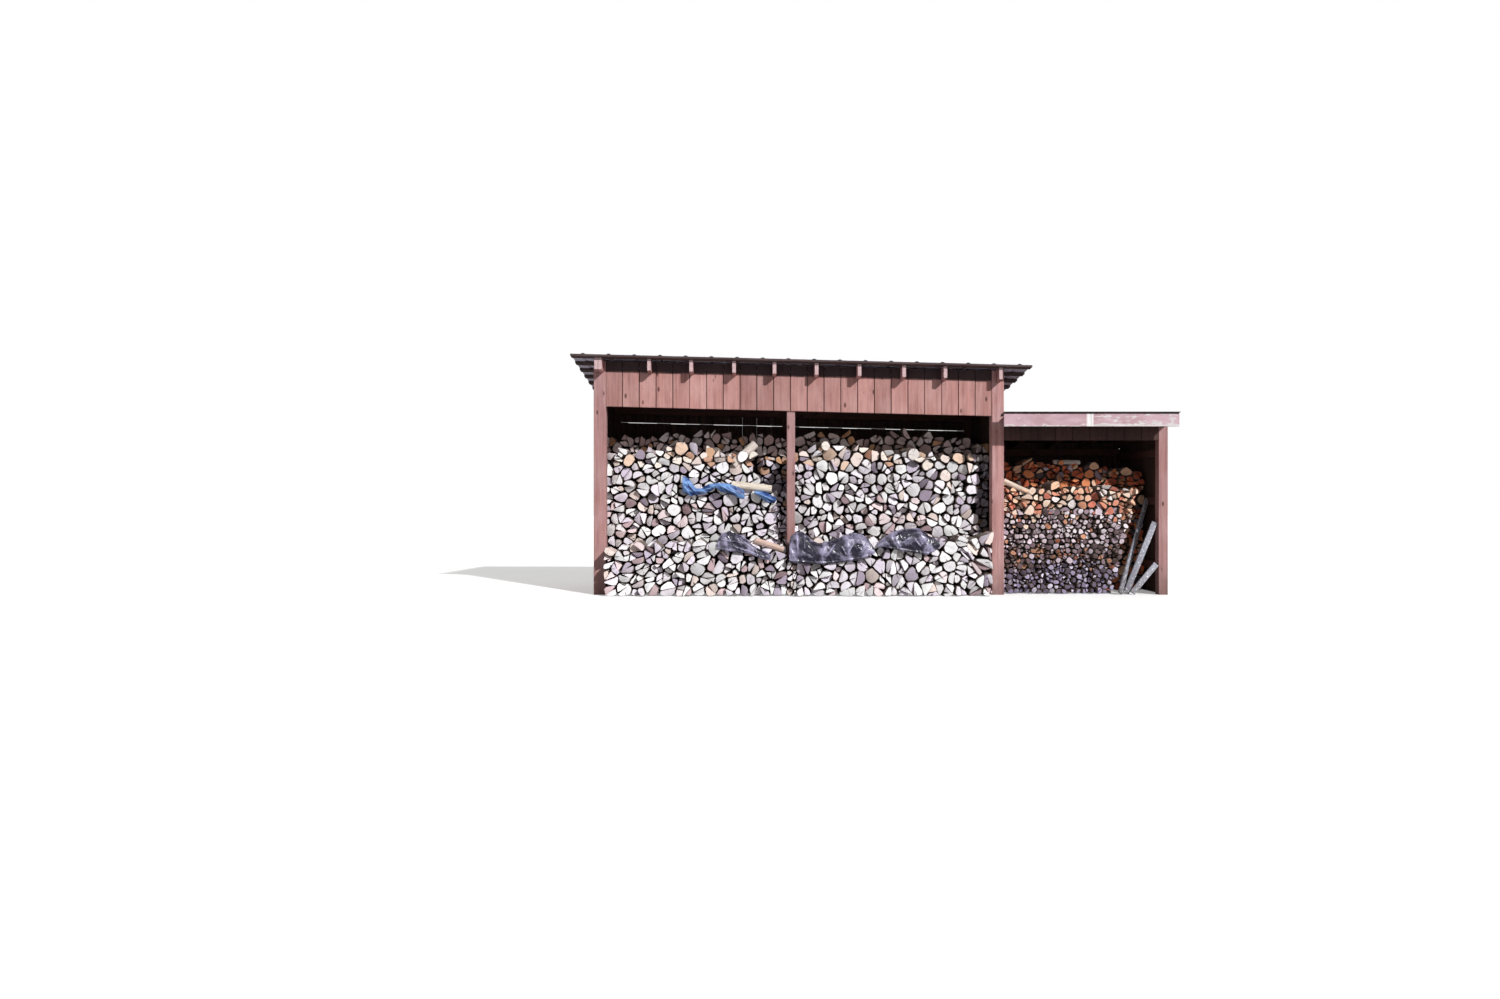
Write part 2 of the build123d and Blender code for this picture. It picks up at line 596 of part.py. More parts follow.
def low_rows():
    """The low rows in front, and the sheets that hang over them."""
    post = MIDDLE_POST / 2
    hung_back = SHEET_FRONT + SHEET_THICKNESS
    covered = [(hem[0][0], hem[-1][0], min(z for _, z in hem), FAR, hung_back) for hem in SHEET_HEMS.values()]
    left = log_stack(11, top_line(LEFT_INNER, -post, LOW_LEFT_TOP), 0, LOW_ROW_FRONT, sheets=covered)
    right = log_stack(12, top_line(post, RIGHT_INNER, LOW_RIGHT_TOP), 0, LOW_ROW_FRONT, sheets=covered)
    save("firewood_low_row_left", left)
    save("firewood_low_row_right", right)
    for name, hem in SHEET_HEMS.items():
        save(name, [hung_sheet(hem, left if hem[-1][0] < 0 else right)])


def front_rows():
    """The rows behind the low rows, and the blue sheet caught in the left one."""
    middle = LOG_CLEARANCE / 2
    blue_back = BLUE_FRONT + SHEET_THICKNESS
    save("blue_sheet", [front_prism(outline, BLUE_FRONT, blue_back) for outline in BLUE_OUTLINES])
    covered = []
    for outline in BLUE_OUTLINES:
        xs, zs = zip(*outline)
        covered.append((min(xs), max(xs), min(zs), max(zs), blue_back))
    left_end = FRONT_LEFT_EDGE[0][1]
    save("firewood_front_row_left", log_stack(
        13, top_line(STACK_LEFT, left_end, under_band(FRONT_LEFT_TOP)), LOW_CORE_TOP, FRONT_ROW,
        right_edge=FRONT_LEFT_EDGE, sheets=covered))
    right_end = STACK_RIGHT - RIGHT_RECESS
    right_edge = [(z, STACK_RIGHT + x) for z, x in FRONT_RIGHT_EDGE]
    save("firewood_front_row_right", log_stack(
        14, top_line(middle, right_end, under_band(FRONT_RIGHT_TOP)), LOW_CORE_TOP, FRONT_ROW,
        right_edge=right_edge))


def back_rows():
    """The second rows, which come lower beside the front rows, and the mass of the rows behind."""
    middle = LOG_CLEARANCE / 2
    back, rear, floor = under_band((BACK_CORE_TOP, REAR_CORE_TOP, LEFT_RECESS_FLOOR))
    left_end, right_end = -LEFT_RECESS, STACK_RIGHT - RIGHT_RECESS
    save("firewood_back_row_left", log_stack(
        15, top_line(STACK_LEFT, left_end, under_band(BACK_LEFT_TOP)), back, SECOND_ROW) + log_stack(
        19, top_line(left_end, -middle, under_band(LEFT_RECESS_TOP)), floor, SECOND_ROW))
    save("firewood_back_row_right", log_stack(
        16, top_line(middle, right_end, under_band(BACK_RIGHT_TOP)), back, SECOND_ROW) + log_stack(
        20, top_line(right_end, STACK_RIGHT, under_band(RIGHT_RECESS_TOP)), LOW_CORE_TOP, SECOND_ROW))
    core_front, core_rear = FRONT_ROW + ROW_GAP, SHED_DEPTH - REAR_POST - CORE_REAR_GAP
    save("firewood_core_left", [
        core(STACK_LEFT, left_end - ROW_GAP, core_front, (LOW_CORE_TOP, back, rear), core_rear),
        core(left_end, -middle, core_front, (LOW_CORE_TOP, floor, rear), core_rear),
    ])
    low_end = core_front + ROW_PITCH
    save("firewood_core_right", [
        core(middle, right_end - ROW_GAP, core_front, (LOW_CORE_TOP, back, rear), core_rear),
        side_prism([(core_front, 0), (core_front, LOW_CORE_TOP), (low_end + ROW_PITCH, LOW_CORE_TOP),
                    (low_end + ROW_PITCH, rear), (core_rear, rear), (core_rear, 0)], right_end, STACK_RIGHT),
    ])


def side_rows():
    """The rows in the side bay, which end at a sloping edge where the planks lean."""
    second = SIDE_ROW + ROW_PITCH
    back, rear = under_header((SIDE_BACK_CORE_TOP, SIDE_REAR_CORE_TOP))
    recess = SIDE_INNER - SIDE_RECESS
    edge = [(z, SIDE_INNER + x) for z, x in SIDE_EDGE]
    save("firewood_front_row_side", log_stack(
        17, top_line(RIGHT_FACE, SIDE_INNER + SIDE_EDGE[1][1], under_header(FRONT_SIDE_TOP)), 0, SIDE_ROW,
        SIDE_LOG_SIZE, right_edge=edge))
    save("firewood_back_row_side", log_stack(
        18, top_line(RIGHT_FACE, recess, under_header(BACK_SIDE_TOP)), back, second, SIDE_LOG_SIZE) + log_stack(
        21, top_line(recess, SIDE_RAIL_X, under_header(SIDE_RECESS_TOP)), 0, second, SIDE_LOG_SIZE))
    core_front, core_rear = second + ROW_GAP, SIDE_REAR - CORE_REAR_GAP
    save("firewood_core_side", [
        core(RIGHT_FACE, recess - ROW_GAP, core_front, (back, rear), core_rear),
        block(recess, SIDE_RAIL_X, core_front + ROW_PITCH, core_rear, 0, rear),
    ])


def main():
    # Main shed
    ends, inner = end_rafters(), inner_rafters()
    save("rafters", ends + inner)
    save("front_post_left", [corner_post(LEFT_POST_X, 2 * RAFTER_WIDTH + RAFTER_PLY_GAP)])
    save("front_post_middle", [middle_post()])
    save("front_post_right", [corner_post(RIGHT_POST_X, RAFTER_WIDTH)])
    save("rear_posts", rear_posts())
    front_beam = (LEFT_INNER, RIGHT_INNER, BEAM_FRONT, BEAM_BACK)
    save("front_beam", [beam(*front_beam, FRONT_BEAM_BOTTOM, FRONT_BEAM_TOP, ROOF_LEAN)])
    rear_beam = (LEFT_FACE, RIGHT_FACE, REAR_BEAM_FRONT, SHED_DEPTH)
    save("rear_beam", [beam(*rear_beam, REAR_BEAM_BOTTOM, REAR_BEAM_TOP, ROOF_LEAN)])
    save("roof_battens", roof_battens())
    save("roof_panels", roof_panels())
    band_edges = board_edges(LEFT_INNER, RIGHT_INNER)
    save("front_band", notched_boards(
        band_edges, BAND_SETBACK, BAND_BOTTOM, RAFTER_TOP, ROOF_PITCH, ROOF_LEAN, inner))
    wall_front, wall_rear = CORNER_POST, SHED_DEPTH - REAR_POST
    for name, x0 in (("side_wall_left", LEFT_FACE), ("side_wall_right", RIGHT_FACE - BOARD_THICKNESS)):
        save(name, side_boards(x0, wall_front, wall_rear, RAFTER_TOP, ROOF_PITCH, ROOF_LEAN))
    save("rear_wall", rear_boards(ends + inner))
    rail_faces = (LEFT_FACE + BOARD_THICKNESS, RIGHT_FACE - BOARD_THICKNESS - RAIL_THICKNESS)
    for name, x0 in zip(("side_rails_left", "side_rails_right"), rail_faces):
        save(name, rails([(x0, x0 + RAIL_THICKNESS)], wall_front, wall_rear, RAIL_LEVELS))
    rear_spans = [(LEFT_FACE + REAR_POST, -REAR_POST / 2), (REAR_POST / 2, RIGHT_FACE - REAR_POST)]
    save("rear_rails", rails(rear_spans, SHED_DEPTH - RAIL_THICKNESS, SHED_DEPTH, RAIL_LEVELS))

    # Side bay
    rafters = side_rafters()
    save("side_bay_rafters", rafters)
    save("side_bay_front_post", [side_front_post(rafters[-1])])
    posts = [block(x, x + REAR_POST, SIDE_REAR, SIDE_DEPTH, 0, SIDE_REAR_BEAM_BOTTOM)
             for x in (RIGHT_FACE, SIDE_FACE - REAR_POST)]
    save("side_bay_rear_posts", posts)
    side_beam = (RIGHT_FACE, SIDE_INNER, BEAM_FRONT, SIDE_BEAM_BACK)
    save("side_bay_front_beam", [beam(*side_beam, SIDE_BEAM_TOP - SIDE_BEAM_DEPTH, SIDE_BEAM_TOP, 0)])
    side_rear_beam = (RIGHT_FACE, SIDE_FACE, SIDE_REAR_BEAM_FRONT, SIDE_DEPTH)
    save("side_bay_rear_beam", [beam(*side_rear_beam, SIDE_REAR_BEAM_BOTTOM, SIDE_REAR_BEAM_TOP, 0)])
    deck, cover = side_roof()
    save("side_bay_roof_deck", deck)
    save("side_bay_roof_cover", [cover])
    save("side_bay_fascia", side_fascia())
    save("side_bay_header", side_header())
    side_boards_x = SIDE_FACE - BOARD_THICKNESS
    save("side_bay_wall", side_boards(side_boards_x, SIDE_POST, SIDE_REAR, SIDE_RAFTER_TOP, SIDE_PITCH, 0))
    save("side_bay_rear_wall", notched_boards(
        board_edges(RIGHT_FACE, SIDE_FACE), SIDE_DEPTH, 0, SIDE_RAFTER_TOP, SIDE_PITCH, 0, rafters))
    save("side_bay_rails", rails([(SIDE_RAIL_X, side_boards_x)], SIDE_POST, SIDE_REAR, SIDE_RAIL_LEVELS))
    rear_span = [(RIGHT_FACE + REAR_POST, SIDE_FACE - REAR_POST)]
    save("side_bay_rear_rails", rails(
        rear_span, SIDE_DEPTH - RAIL_THICKNESS, SIDE_DEPTH, SIDE_REAR_RAIL_LEVELS))

    # Firewood, sheets and planks
    low_rows()
    front_rows()
    back_rows()
    side_rows()
    rests = (SIDE_RAIL_X, SIDE_INNER, SIDE_INNER)
    save("leaning_planks", [plank(foot, head, rest) for (foot, head), rest in zip(PLANK_LEANS, rests)])


main()
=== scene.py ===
"""Dressed model of a log store: weathered boards, split firewood and draped plastic sheets.

Lengths are in metres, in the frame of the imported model. The stacks and sheets are laid out from
the front line, the front face of the corner posts.
"""
import math
import random

import bmesh
import bpy
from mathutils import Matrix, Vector, noise
from mathutils.bvhtree import BVHTree


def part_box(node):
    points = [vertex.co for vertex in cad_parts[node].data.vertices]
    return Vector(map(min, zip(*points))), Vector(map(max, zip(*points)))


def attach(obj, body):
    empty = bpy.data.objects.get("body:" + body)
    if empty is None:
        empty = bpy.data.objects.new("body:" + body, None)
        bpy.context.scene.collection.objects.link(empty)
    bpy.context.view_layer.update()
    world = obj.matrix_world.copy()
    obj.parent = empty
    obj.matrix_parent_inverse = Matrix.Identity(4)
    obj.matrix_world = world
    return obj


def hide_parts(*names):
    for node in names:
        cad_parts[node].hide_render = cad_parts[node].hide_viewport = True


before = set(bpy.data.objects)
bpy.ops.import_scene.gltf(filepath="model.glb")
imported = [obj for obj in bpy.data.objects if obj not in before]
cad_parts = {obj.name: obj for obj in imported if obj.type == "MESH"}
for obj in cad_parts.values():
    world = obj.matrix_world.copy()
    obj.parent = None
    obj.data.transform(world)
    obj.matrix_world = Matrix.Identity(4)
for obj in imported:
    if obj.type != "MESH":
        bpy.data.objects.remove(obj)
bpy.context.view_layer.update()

# Camera and light; a lamp is its name, the way its light travels, strength and angle in degrees
CAMERA_PLACE = (-0.5125, -12.831, 1.19)
CAMERA_LENS = 24.5
SENSOR_WIDTH = 36.0
CLIP_END = 200
LAMPS = (
    ("sun", (-0.75, 1.0, -0.8), 3.45, 2.0),
    ("fill", (0.6, -1.0, -0.7), 0.7, 120.0),
)
SKY_STRENGTH = 0.24
FLOOR_REACH = 60.0
FLOOR_GLOW = 0.26

# Places that the stacks share with the CAD model
FRONT_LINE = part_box("front_post_left")[0][1]
STACK_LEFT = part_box("side_rails_left")[1][0] - 0.05
LEFT_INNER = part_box("front_post_left")[1][0]
POST_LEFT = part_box("front_post_middle")[0][0]
POST_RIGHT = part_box("front_post_middle")[1][0]
RIGHT_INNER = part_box("front_post_right")[0][0]
RIGHT_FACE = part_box("front_post_right")[1][0]
STACK_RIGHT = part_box("side_rails_right")[0][0]
SIDE_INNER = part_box("side_bay_front_post")[0][0]
SIDE_RAIL_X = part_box("side_bay_rails")[0][0]
CORE_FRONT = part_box("firewood_core_left")[0][1] - FRONT_LINE - 0.04
LOW_CORE_TOP = 0.47
BAND_BOTTOM = 2.295
HEADER_BOTTOM = 1.93

# How far the front of each row stands behind the front line
LOW_ROW_FRONT = -0.235
FRONT_ROW = 0.2
SECOND_ROW = 0.64
RIGHT_RECESS = 0.46
SIDE_ROW = 0.11
SIDE_SECOND_ROW = 0.55

# Boards and fixings
SHARP_ANGLE = 0.4
CLOSED_GAP = 0.0012
FELT_STRIP = 0.62
NAIL_SHARES = (0.2, 0.8)
NAIL_UNEVENNESS = 0.012
NAIL_RADIUS, NAIL_HEIGHT = 0.0045, 0.0015
SCREW_RADIUS, SCREW_HEIGHT, SCREW_PITCH = 0.009, 0.006, 0.3
STUD_SIDES = 8

# How logs are cut and laid
LOG_LENGTH = 0.385
SHORT_LENGTH = 0.16
LENGTH_SPREAD = 0.018
LOG_GAP = (0.003, 0.010)
LOOSE_GAP = 0.002
SET_BACK = (-0.035, 0.10)
LOG_TURN = 0.3
END_TILT = 0.34
END_EASE, EASE_DEPTH = 0.0035, 0.004
LOG_BOW = 0.003
LEAST_TAPER = 0.93
LEAST_AREA = 0.0006
LIGHTNESS = (0.92, 1.04)
SMOOTH_ANGLE = math.radians(38)

# How a stack is shared out: unevenness of the cells and how far it is evened out, the share of
# unsplit logs that look round, and how much of a split log's corners is cut off
COURSE_SHARE = 0.87
JITTER = 0.4
EVENING = 0.45
WHOLE_ROUND = 0.6
ROUND_POINTS = 12
ROUNDNESS = 1.26
BARK_CUT, SPLIT_CUT = 0.25, 0.12
BARK, SPLIT = "bark", "split"

# How sheets hang
DRAPED_COLUMNS, ROWS_BACK, ROWS_DOWN = 150, 18, 56
CAUGHT_COLUMNS, CAUGHT_ROWS = 120, 24
BLACK_FACE = LOW_ROW_FRONT - 0.034
BLACK_BACK = LOW_ROW_FRONT - 0.026
BLUE_FACE = FRONT_ROW - 0.034
SHEET_CLEARANCE = 0.012
CREASE_SPREAD = 0.62
BLACK_THICKNESS, BLUE_THICKNESS = 0.0012, 0.001


# Node materials

def linear(*colour):
    """An sRGB colour from 0 to 255 as linear RGBA."""
    channels = [c / 255 for c in colour]
    return (*[c / 12.92 if c <= 0.04045 else ((c + 0.055) / 1.055) ** 2.4 for c in channels], 1.0)


class Nodes:
    """A node tree under construction."""

    def __init__(self, tree):
        self.tree = tree

    def put(self, socket, value):
        if isinstance(value, bpy.types.NodeSocket):
            self.tree.links.new(value, socket)
        else:
            socket.default_value = value

    def node(self, kind, inputs, **settings):
        made = self.tree.nodes.new("ShaderNode" + kind)
        for name, value in settings.items():
            setattr(made, name, value)
        for socket, value in inputs.items():
            self.put(made.inputs[socket], value)
        return made

    def maths(self, operation, a, b=0.0):
        return self.node("Math", {0: a, 1: b}, operation=operation).outputs[0]

    def plus(self, a, b):
        return self.maths("ADD", a, b)

    def minus(self, a, b):
        return self.maths("SUBTRACT", a, b)

    def times(self, a, b):
        return self.maths("MULTIPLY", a, b)


class Finish(Nodes):
    """A node material under construction."""

    def __init__(self, name, metallic=0.0):
        self.material = bpy.data.materials.new(name)
        self.material.use_nodes = True
        super().__init__(self.material.node_tree)
        self.shader = self.tree.nodes["Principled BSDF"]
        self.shader.inputs["Metallic"].default_value = metallic

    def attribute(self, name, output="Fac"):
        return self.node("Attribute", {}, attribute_name=name).outputs[output]

    def place(self):
        return self.node("TexCoord", {}).outputs["Object"]

    def normal(self):
        return self.node("NewGeometry", {}).outputs["Normal"]

    def split(self, vector):
        return self.node("SeparateXYZ", {"Vector": vector}).outputs

    def join(self, x, y, z):
        return self.node("CombineXYZ", {"X": x, "Y": y, "Z": z}).outputs[0]

    def scaled(self, vector, scale):
        return self.node("VectorMath", {0: vector, 1: scale}, operation="MULTIPLY").outputs[0]

    def noise(self, vector, scale=1.0, detail=4.0, roughness=0.55, distortion=0.0, kind="FBM"):
        """A scale of three numbers stretches the noise along the axes."""
        if isinstance(scale, tuple):
            vector, scale = self.scaled(vector, scale), 1.0
        inputs = {"Vector": vector, "Scale": scale, "Detail": detail, "Roughness": roughness,
                  "Distortion": distortion}
        return self.node("TexNoise", inputs, noise_type=kind).outputs["Fac"]

    def cells(self, vector, scale=1.0, output="Distance"):
        return self.node("TexVoronoi", {"Vector": vector, "Scale": scale}).outputs[output]

    def ramp(self, fac, *stops):
        """Stops are (position, value)."""
        made = self.node("ValToRGB", {"Fac": fac})
        elements = made.color_ramp.elements
        while len(elements) < len(stops):
            elements.new(0.5)
        for element, (position, value) in zip(elements, stops):
            element.position = position
            element.color = (value, value, value, 1.0)
        return made.outputs["Color"]

    def rise(self, fac, start, end, top=1.0):
        return self.ramp(fac, (start, 0.0), (end, top))

    def fall(self, fac, start, end, top=1.0):
        return self.ramp(fac, (start, top), (end, 0.0))

    def mix(self, fac, a, b, blend="MIX"):
        """A plain colour of three numbers is sRGB from 0 to 255, and one of four is linear."""
        a, b = [linear(*c) if isinstance(c, tuple) and len(c) == 3 else c for c in (a, b)]
        return self.node("Mix", {0: fac, 6: a, 7: b}, data_type="RGBA", blend_type=blend).outputs[2]

    def finish(self, colour, roughness, height=None, distance=0.002, strength=0.6):
        self.put(self.shader.inputs["Base Color"], colour)
        self.put(self.shader.inputs["Roughness"], roughness)
        if height is not None:
            bump = self.node("Bump", {"Height": height, "Strength": strength, "Distance": distance})
            self.put(self.shader.inputs["Normal"], bump.outputs["Normal"])
        return self.material


def timber_finish(name, colours, specks=None, painted_eave_shade=None, painted_inner_shade=None):
    """Sawn timber: fibres and streaks along the grain, knots, weather stains and a dirty foot.

    The colours are a dark one, the base, a pale one and that of the sawn ends. Above the line of
    painted eave shade (height at x = 0, fall to the right) the colour goes near black, painted shade
    for the eave's shadow. The faces that look inward get painted shade, dark brown, for the interior.
    """
    dark, base, pale, end = colours
    f = Finish(name)
    grain = f.attribute("grain", "Vector")
    place = f.place()
    height = f.split(place)[2]
    fibres = f.noise(grain, (5.0, 170.0, 170.0), detail=5.0, roughness=0.7)
    streaks = f.noise(grain, (1.3, 26.0, 26.0), distortion=0.4)
    blotches = f.noise(grain, (2.2, 6.0, 6.0), detail=5.0, roughness=0.6)
    colour = f.mix(f.fall(streaks, 0.30, 0.57, 0.62), base, dark)
    colour = f.mix(f.rise(blotches, 0.42, 0.72, 0.5), colour, pale)
    colour = f.mix(f.fall(fibres, 0.25, 0.52, 0.45), colour, dark)
    knot_space = f.scaled(grain, (4.5, 9.5, 9.5))
    some = f.rise(f.split(f.cells(knot_space, output="Color"))[0], 0.52, 0.56)
    knots = f.times(f.fall(f.cells(knot_space), 0.09, 0.19, 0.85), some)
    colour = f.mix(knots, colour, (70, 38, 32))
    tone = f.ramp(f.attribute("shade"), (0.0, 0.7), (0.5, 0.93), (1.0, 1.12))
    colour = f.mix(1.0, colour, tone, "MULTIPLY")
    # Painted shade: above the eave's line the colour goes near black, for the shadow of the eave
    if painted_eave_shade:
        level, fall = painted_eave_shade
        over = f.plus(height, f.times(f.split(place)[0], fall))
        over = f.minus(over, f.plus(level - 1.0, f.times(f.noise(place, 5.0), 0.04)))
        colour = f.mix(f.rise(f.times(over, 0.5), 0.5, 0.512, 0.94), colour, (34, 20, 26))
    dirt = f.times(f.fall(height, 0.02, 0.42), f.noise(place, 9.0))
    colour = f.mix(f.times(dirt, 0.96), colour, (92, 76, 66))
    # Painted shade: faces that look into the shed turn dark brown, for the shade of the interior
    if painted_inner_shade:
        towards = {0: f.normal(), 1: painted_inner_shade}
        facing = f.node("VectorMath", towards, operation="DOT_PRODUCT").outputs["Value"]
        inner_shade_colour = f.mix(f.rise(streaks, 0.3, 0.7), (54, 38, 34), (92, 68, 58))
        colour = f.mix(f.rise(facing, 0.5, 0.6), colour, inner_shade_colour)
    rings = f.noise(grain, (8.0, 90.0, 90.0), detail=3.0)
    sawn = f.mix(f.fall(rings, 0.35, 0.6, 0.45), end, dark)
    colour = f.mix(f.attribute("end"), colour, sawn)
    colour = f.mix(f.times(f.attribute("joint"), 0.8), colour, (46, 26, 24))
    if specks:
        spots = f.rise(f.noise(place, 38.0, detail=3.0, roughness=0.7), 0.56, 0.63, 0.8)
        colour = f.mix(spots, colour, specks)
    relief = f.plus(f.times(fibres, 0.6), f.times(streaks, 0.8))
    relief = f.minus(relief, f.times(knots, 0.5))
    return f.finish(colour, f.ramp(fibres, (0.2, 0.68), (0.8, 0.92)), relief, 0.0025, 0.7)


def peeling_finish(name):
    """Pink paint that flakes off a bare board, most along its lower edge, its right and its joint."""
    f = Finish(name)
    place = f.place()
    x, _, z = f.split(place)[:3]
    low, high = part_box("side_bay_fascia")
    fibres = f.noise(f.attribute("grain", "Vector"), (5.0, 150.0, 150.0), detail=5.0)
    stains = f.noise(place, (2.5, 1.0, 5.0), distortion=0.5)
    paint = f.mix(f.rise(stains, 0.35, 0.7), (178, 138, 146), (216, 184, 194))
    bare = f.mix(f.rise(fibres, 0.3, 0.7), (196, 186, 186), (236, 230, 230))
    chips = f.noise(place, (9.0, 1.0, 26.0), detail=6.0, roughness=0.68)
    up = f.maths("DIVIDE", f.minus(z, low[2]), high[2] - low[2])
    along = f.maths("DIVIDE", f.minus(x, low[0]), high[0] - low[0])
    loss = f.plus(chips, f.ramp(up, (0.02, 0.2), (0.36, -0.01)))
    loss = f.plus(loss, f.ramp(along, (0.42, -0.02), (0.62, 0.09)))
    colour = f.mix(f.rise(loss, 0.63, 0.68), paint, bare)
    joint = (low[0] + high[0]) / 2 - 0.02
    near_joint = f.fall(f.maths("ABSOLUTE", f.minus(x, joint)), 0.03, 0.05)
    colour = f.mix(near_joint, colour, (244, 240, 240))
    return f.finish(colour, f.ramp(chips, (0.3, 0.5), (0.7, 0.85)), loss, 0.0015, 0.6)


def metal_finish(name):
    """Weathered zinc with rust and run-off streaks down the slope, and a pale bluish underside: painted
    reflection of the sky and painted bounce light.
    """
    f = Finish(name, metallic=0.3)
    place = f.place()
    spangle = f.cells(place, 22.0, "Color")
    runs = f.noise(place, (14.0, 0.9, 1.0), roughness=0.6)
    rust = f.noise(place, (3.0, 2.0, 2.0), detail=7.0, roughness=0.7)
    colour = f.mix(f.rise(spangle, 0.2, 0.8), (128, 138, 150), (176, 186, 196))
    colour = f.mix(f.rise(runs, 0.45, 0.75, 0.75), colour, (96, 84, 78))
    colour = f.mix(f.rise(rust, 0.55, 0.66, 0.85), colour, (124, 70, 44))
    # Painted light: faces that look down turn pale bluish, for the sky's reflection and bounce light
    painted_underside_light = f.mix(f.rise(rust, 0.3, 0.75, 0.6), (238, 238, 255), (200, 198, 224))
    colour = f.mix(f.fall(f.split(f.normal())[2], 0.0, 0.05), colour, painted_underside_light)
    gloss = f.ramp(rust, (0.4, 0.38), (0.65, 0.85))
    return f.finish(colour, gloss, f.plus(rust, runs), 0.001, 0.4)


def felt_finish(name):
    """Mineral roofing felt with grit, faded patches, moss, and dark laps where its strips meet."""
    f = Finish(name)
    place = f.place()
    grit = f.noise(place, 420.0, detail=2.0)
    fade = f.noise(f.scaled(place, (1.0, 2.5, 1.0)), 1.6, detail=5.0)
    moss = f.rise(f.noise(place, 6.0, detail=6.0, roughness=0.7), 0.60, 0.68, 0.7)
    colour = f.mix(f.rise(grit, 0.3, 0.7), (44, 38, 38), (86, 78, 76))
    colour = f.mix(f.rise(fade, 0.45, 0.75, 0.6), colour, (118, 106, 100))
    colour = f.mix(moss, colour, (78, 84, 48))
    wander = f.times(f.noise(place, 2.0), 0.04)
    strip = f.maths("DIVIDE", f.plus(f.split(place)[1], wander), FELT_STRIP)
    strip = f.maths("FRACT", strip)
    colour = f.mix(f.fall(strip, 0.0, 0.03, 0.85), colour, (24, 20, 20))
    relief = f.plus(f.times(f.plus(grit, fade), 0.5), f.rise(strip, 0.0, 0.02))
    return f.finish(colour, 0.93, relief, 0.003, 0.6)


def log_end_finish(name):
    """Sawn ends of logs: growth rings, drying cracks out from the pith, and grey weathering."""
    f = Finish(name)
    dx, _, dz = f.split(f.attribute("ring", "Vector"))[:3]
    flat = f.join(dx, dz, f.attribute("tone"))
    flat_only = {0: f.scaled(flat, (1.0, 1.0, 0.0))}
    radius = f.node("VectorMath", flat_only, operation="LENGTH").outputs["Value"]
    wobble = f.noise(flat, (14.0, 14.0, 30.0), detail=2.0)
    bands = f.maths("SINE", f.times(f.plus(radius, f.times(wobble, 0.012)), 1100.0))
    rings = f.ramp(f.plus(f.times(bands, 0.5), 0.5), (0.0, 0.9), (1.0, 1.0))
    angle = f.maths("ARCTAN2", dz, dx)
    spokes = f.join(f.times(angle, 2.4), f.times(radius, 5.0), f.scaled(flat, (0.0, 0.0, 50.0)))
    cracks = f.rise(f.noise(spokes, detail=2.0, distortion=0.6), 0.655, 0.70, 0.9)
    stain = f.noise(flat, (18.0, 18.0, 40.0), detail=5.0, roughness=0.65)
    colour = f.mix(1.0, f.attribute("tint", "Color"), rings, "MULTIPLY")
    colour = f.mix(f.rise(stain, 0.5, 0.8, 0.26), colour, (150, 130, 134))
    colour = f.mix(f.fall(radius, 0.0, 0.025, 0.2), colour, (150, 96, 70))
    colour = f.mix(cracks, colour, (48, 34, 30))
    height = f.minus(f.times(bands, 0.12), cracks)
    return f.finish(colour, 0.88, f.plus(height, stain), 0.0025, 0.8)


def log_side_finish(name):
    """Bark with furrows along the log, or the torn fibres of a split face."""
    f = Finish(name)
    ring = f.attribute("ring", "Vector")
    bark = f.attribute("bark")
    furrows = f.noise(ring, (70.0, 9.0, 70.0), 5.0, 0.65, 0.8)
    torn = f.noise(ring, (160.0, 7.0, 160.0), roughness=0.6)
    lichen = f.rise(f.noise(ring, 26.0), 0.55, 0.68, 0.7)
    rough_bark = f.mix(f.rise(furrows, 0.3, 0.7), (62, 50, 46), (150, 134, 124))
    rough_bark = f.mix(lichen, rough_bark, (176, 170, 158))
    tint = f.attribute("tint", "Color")
    split_face = f.mix(f.fall(torn, 0.3, 0.65, 0.65), tint, (120, 84, 62))
    colour = f.mix(bark, split_face, rough_bark)
    return f.finish(colour, 0.92, f.mix(bark, torn, furrows), 0.006, 0.8)


def stack_finish(name):
    """The rows behind, seen through gaps: log ends with painted shade, near black, in the gaps between them.
    """
    f = Finish(name)
    flat = f.scaled(f.place(), (1.0, 0.25, 1.0))
    ends = f.cells(flat, 9.0)
    tones = f.cells(flat, 9.0, "Color")
    colour = f.mix(f.rise(tones, 0.2, 0.9), (110, 98, 108), (214, 202, 216))
    # Painted shade: the borders of the cells go near black, for the shade in the gaps between log ends
    colour = f.mix(f.rise(ends, 0.35, 0.6), colour, (14, 11, 11))
    return f.finish(colour, 0.95, f.times(ends, -1.0), 0.02, 0.8)


def plastic_finish(name, deep, pale_dust_and_sheen, roughness):
    """Thin plastic: long sharp creases, and a pale colour on the crests of its folds and on scuffs, partly a
    dusting and partly painted sheen for the sky's reflection.
    """
    f = Finish(name)
    place = f.place()
    creases = f.noise(f.scaled(place, (1.0, 1.0, 0.7)), 17.0, 3.0, 0.5, 0.7, "RIDGED_MULTIFRACTAL")
    scuffs = f.noise(place, (6.0, 6.0, 12.0), detail=6.0, roughness=0.68)
    # The crests and scuffs turn pale: a dusting and painted sheen
    dust_and_sheen = f.plus(f.attribute("fold"), f.times(f.minus(scuffs, 0.5), 1.6))
    colour = f.mix(f.rise(dust_and_sheen, 0.12, 0.62, 0.9), deep, pale_dust_and_sheen)
    gloss = f.ramp(scuffs, (0.3, roughness), (0.7, roughness + 0.25))
    relief = f.plus(f.times(creases, 0.6), f.times(scuffs, 0.5))
    return f.finish(colour, gloss, relief, 0.013, 1.0)


def steel_finish(name):
    """Dull steel of nails and screws, partly rusted."""
    f = Finish(name, metallic=0.8)
    rust = f.noise(f.place(), 90.0)
    colour = f.mix(f.rise(rust, 0.4, 0.62), (110, 108, 108), (96, 52, 36))
    return f.finish(colour, f.ramp(rust, (0.4, 0.4), (0.7, 0.85)), rust, 0.0006, 0.4)


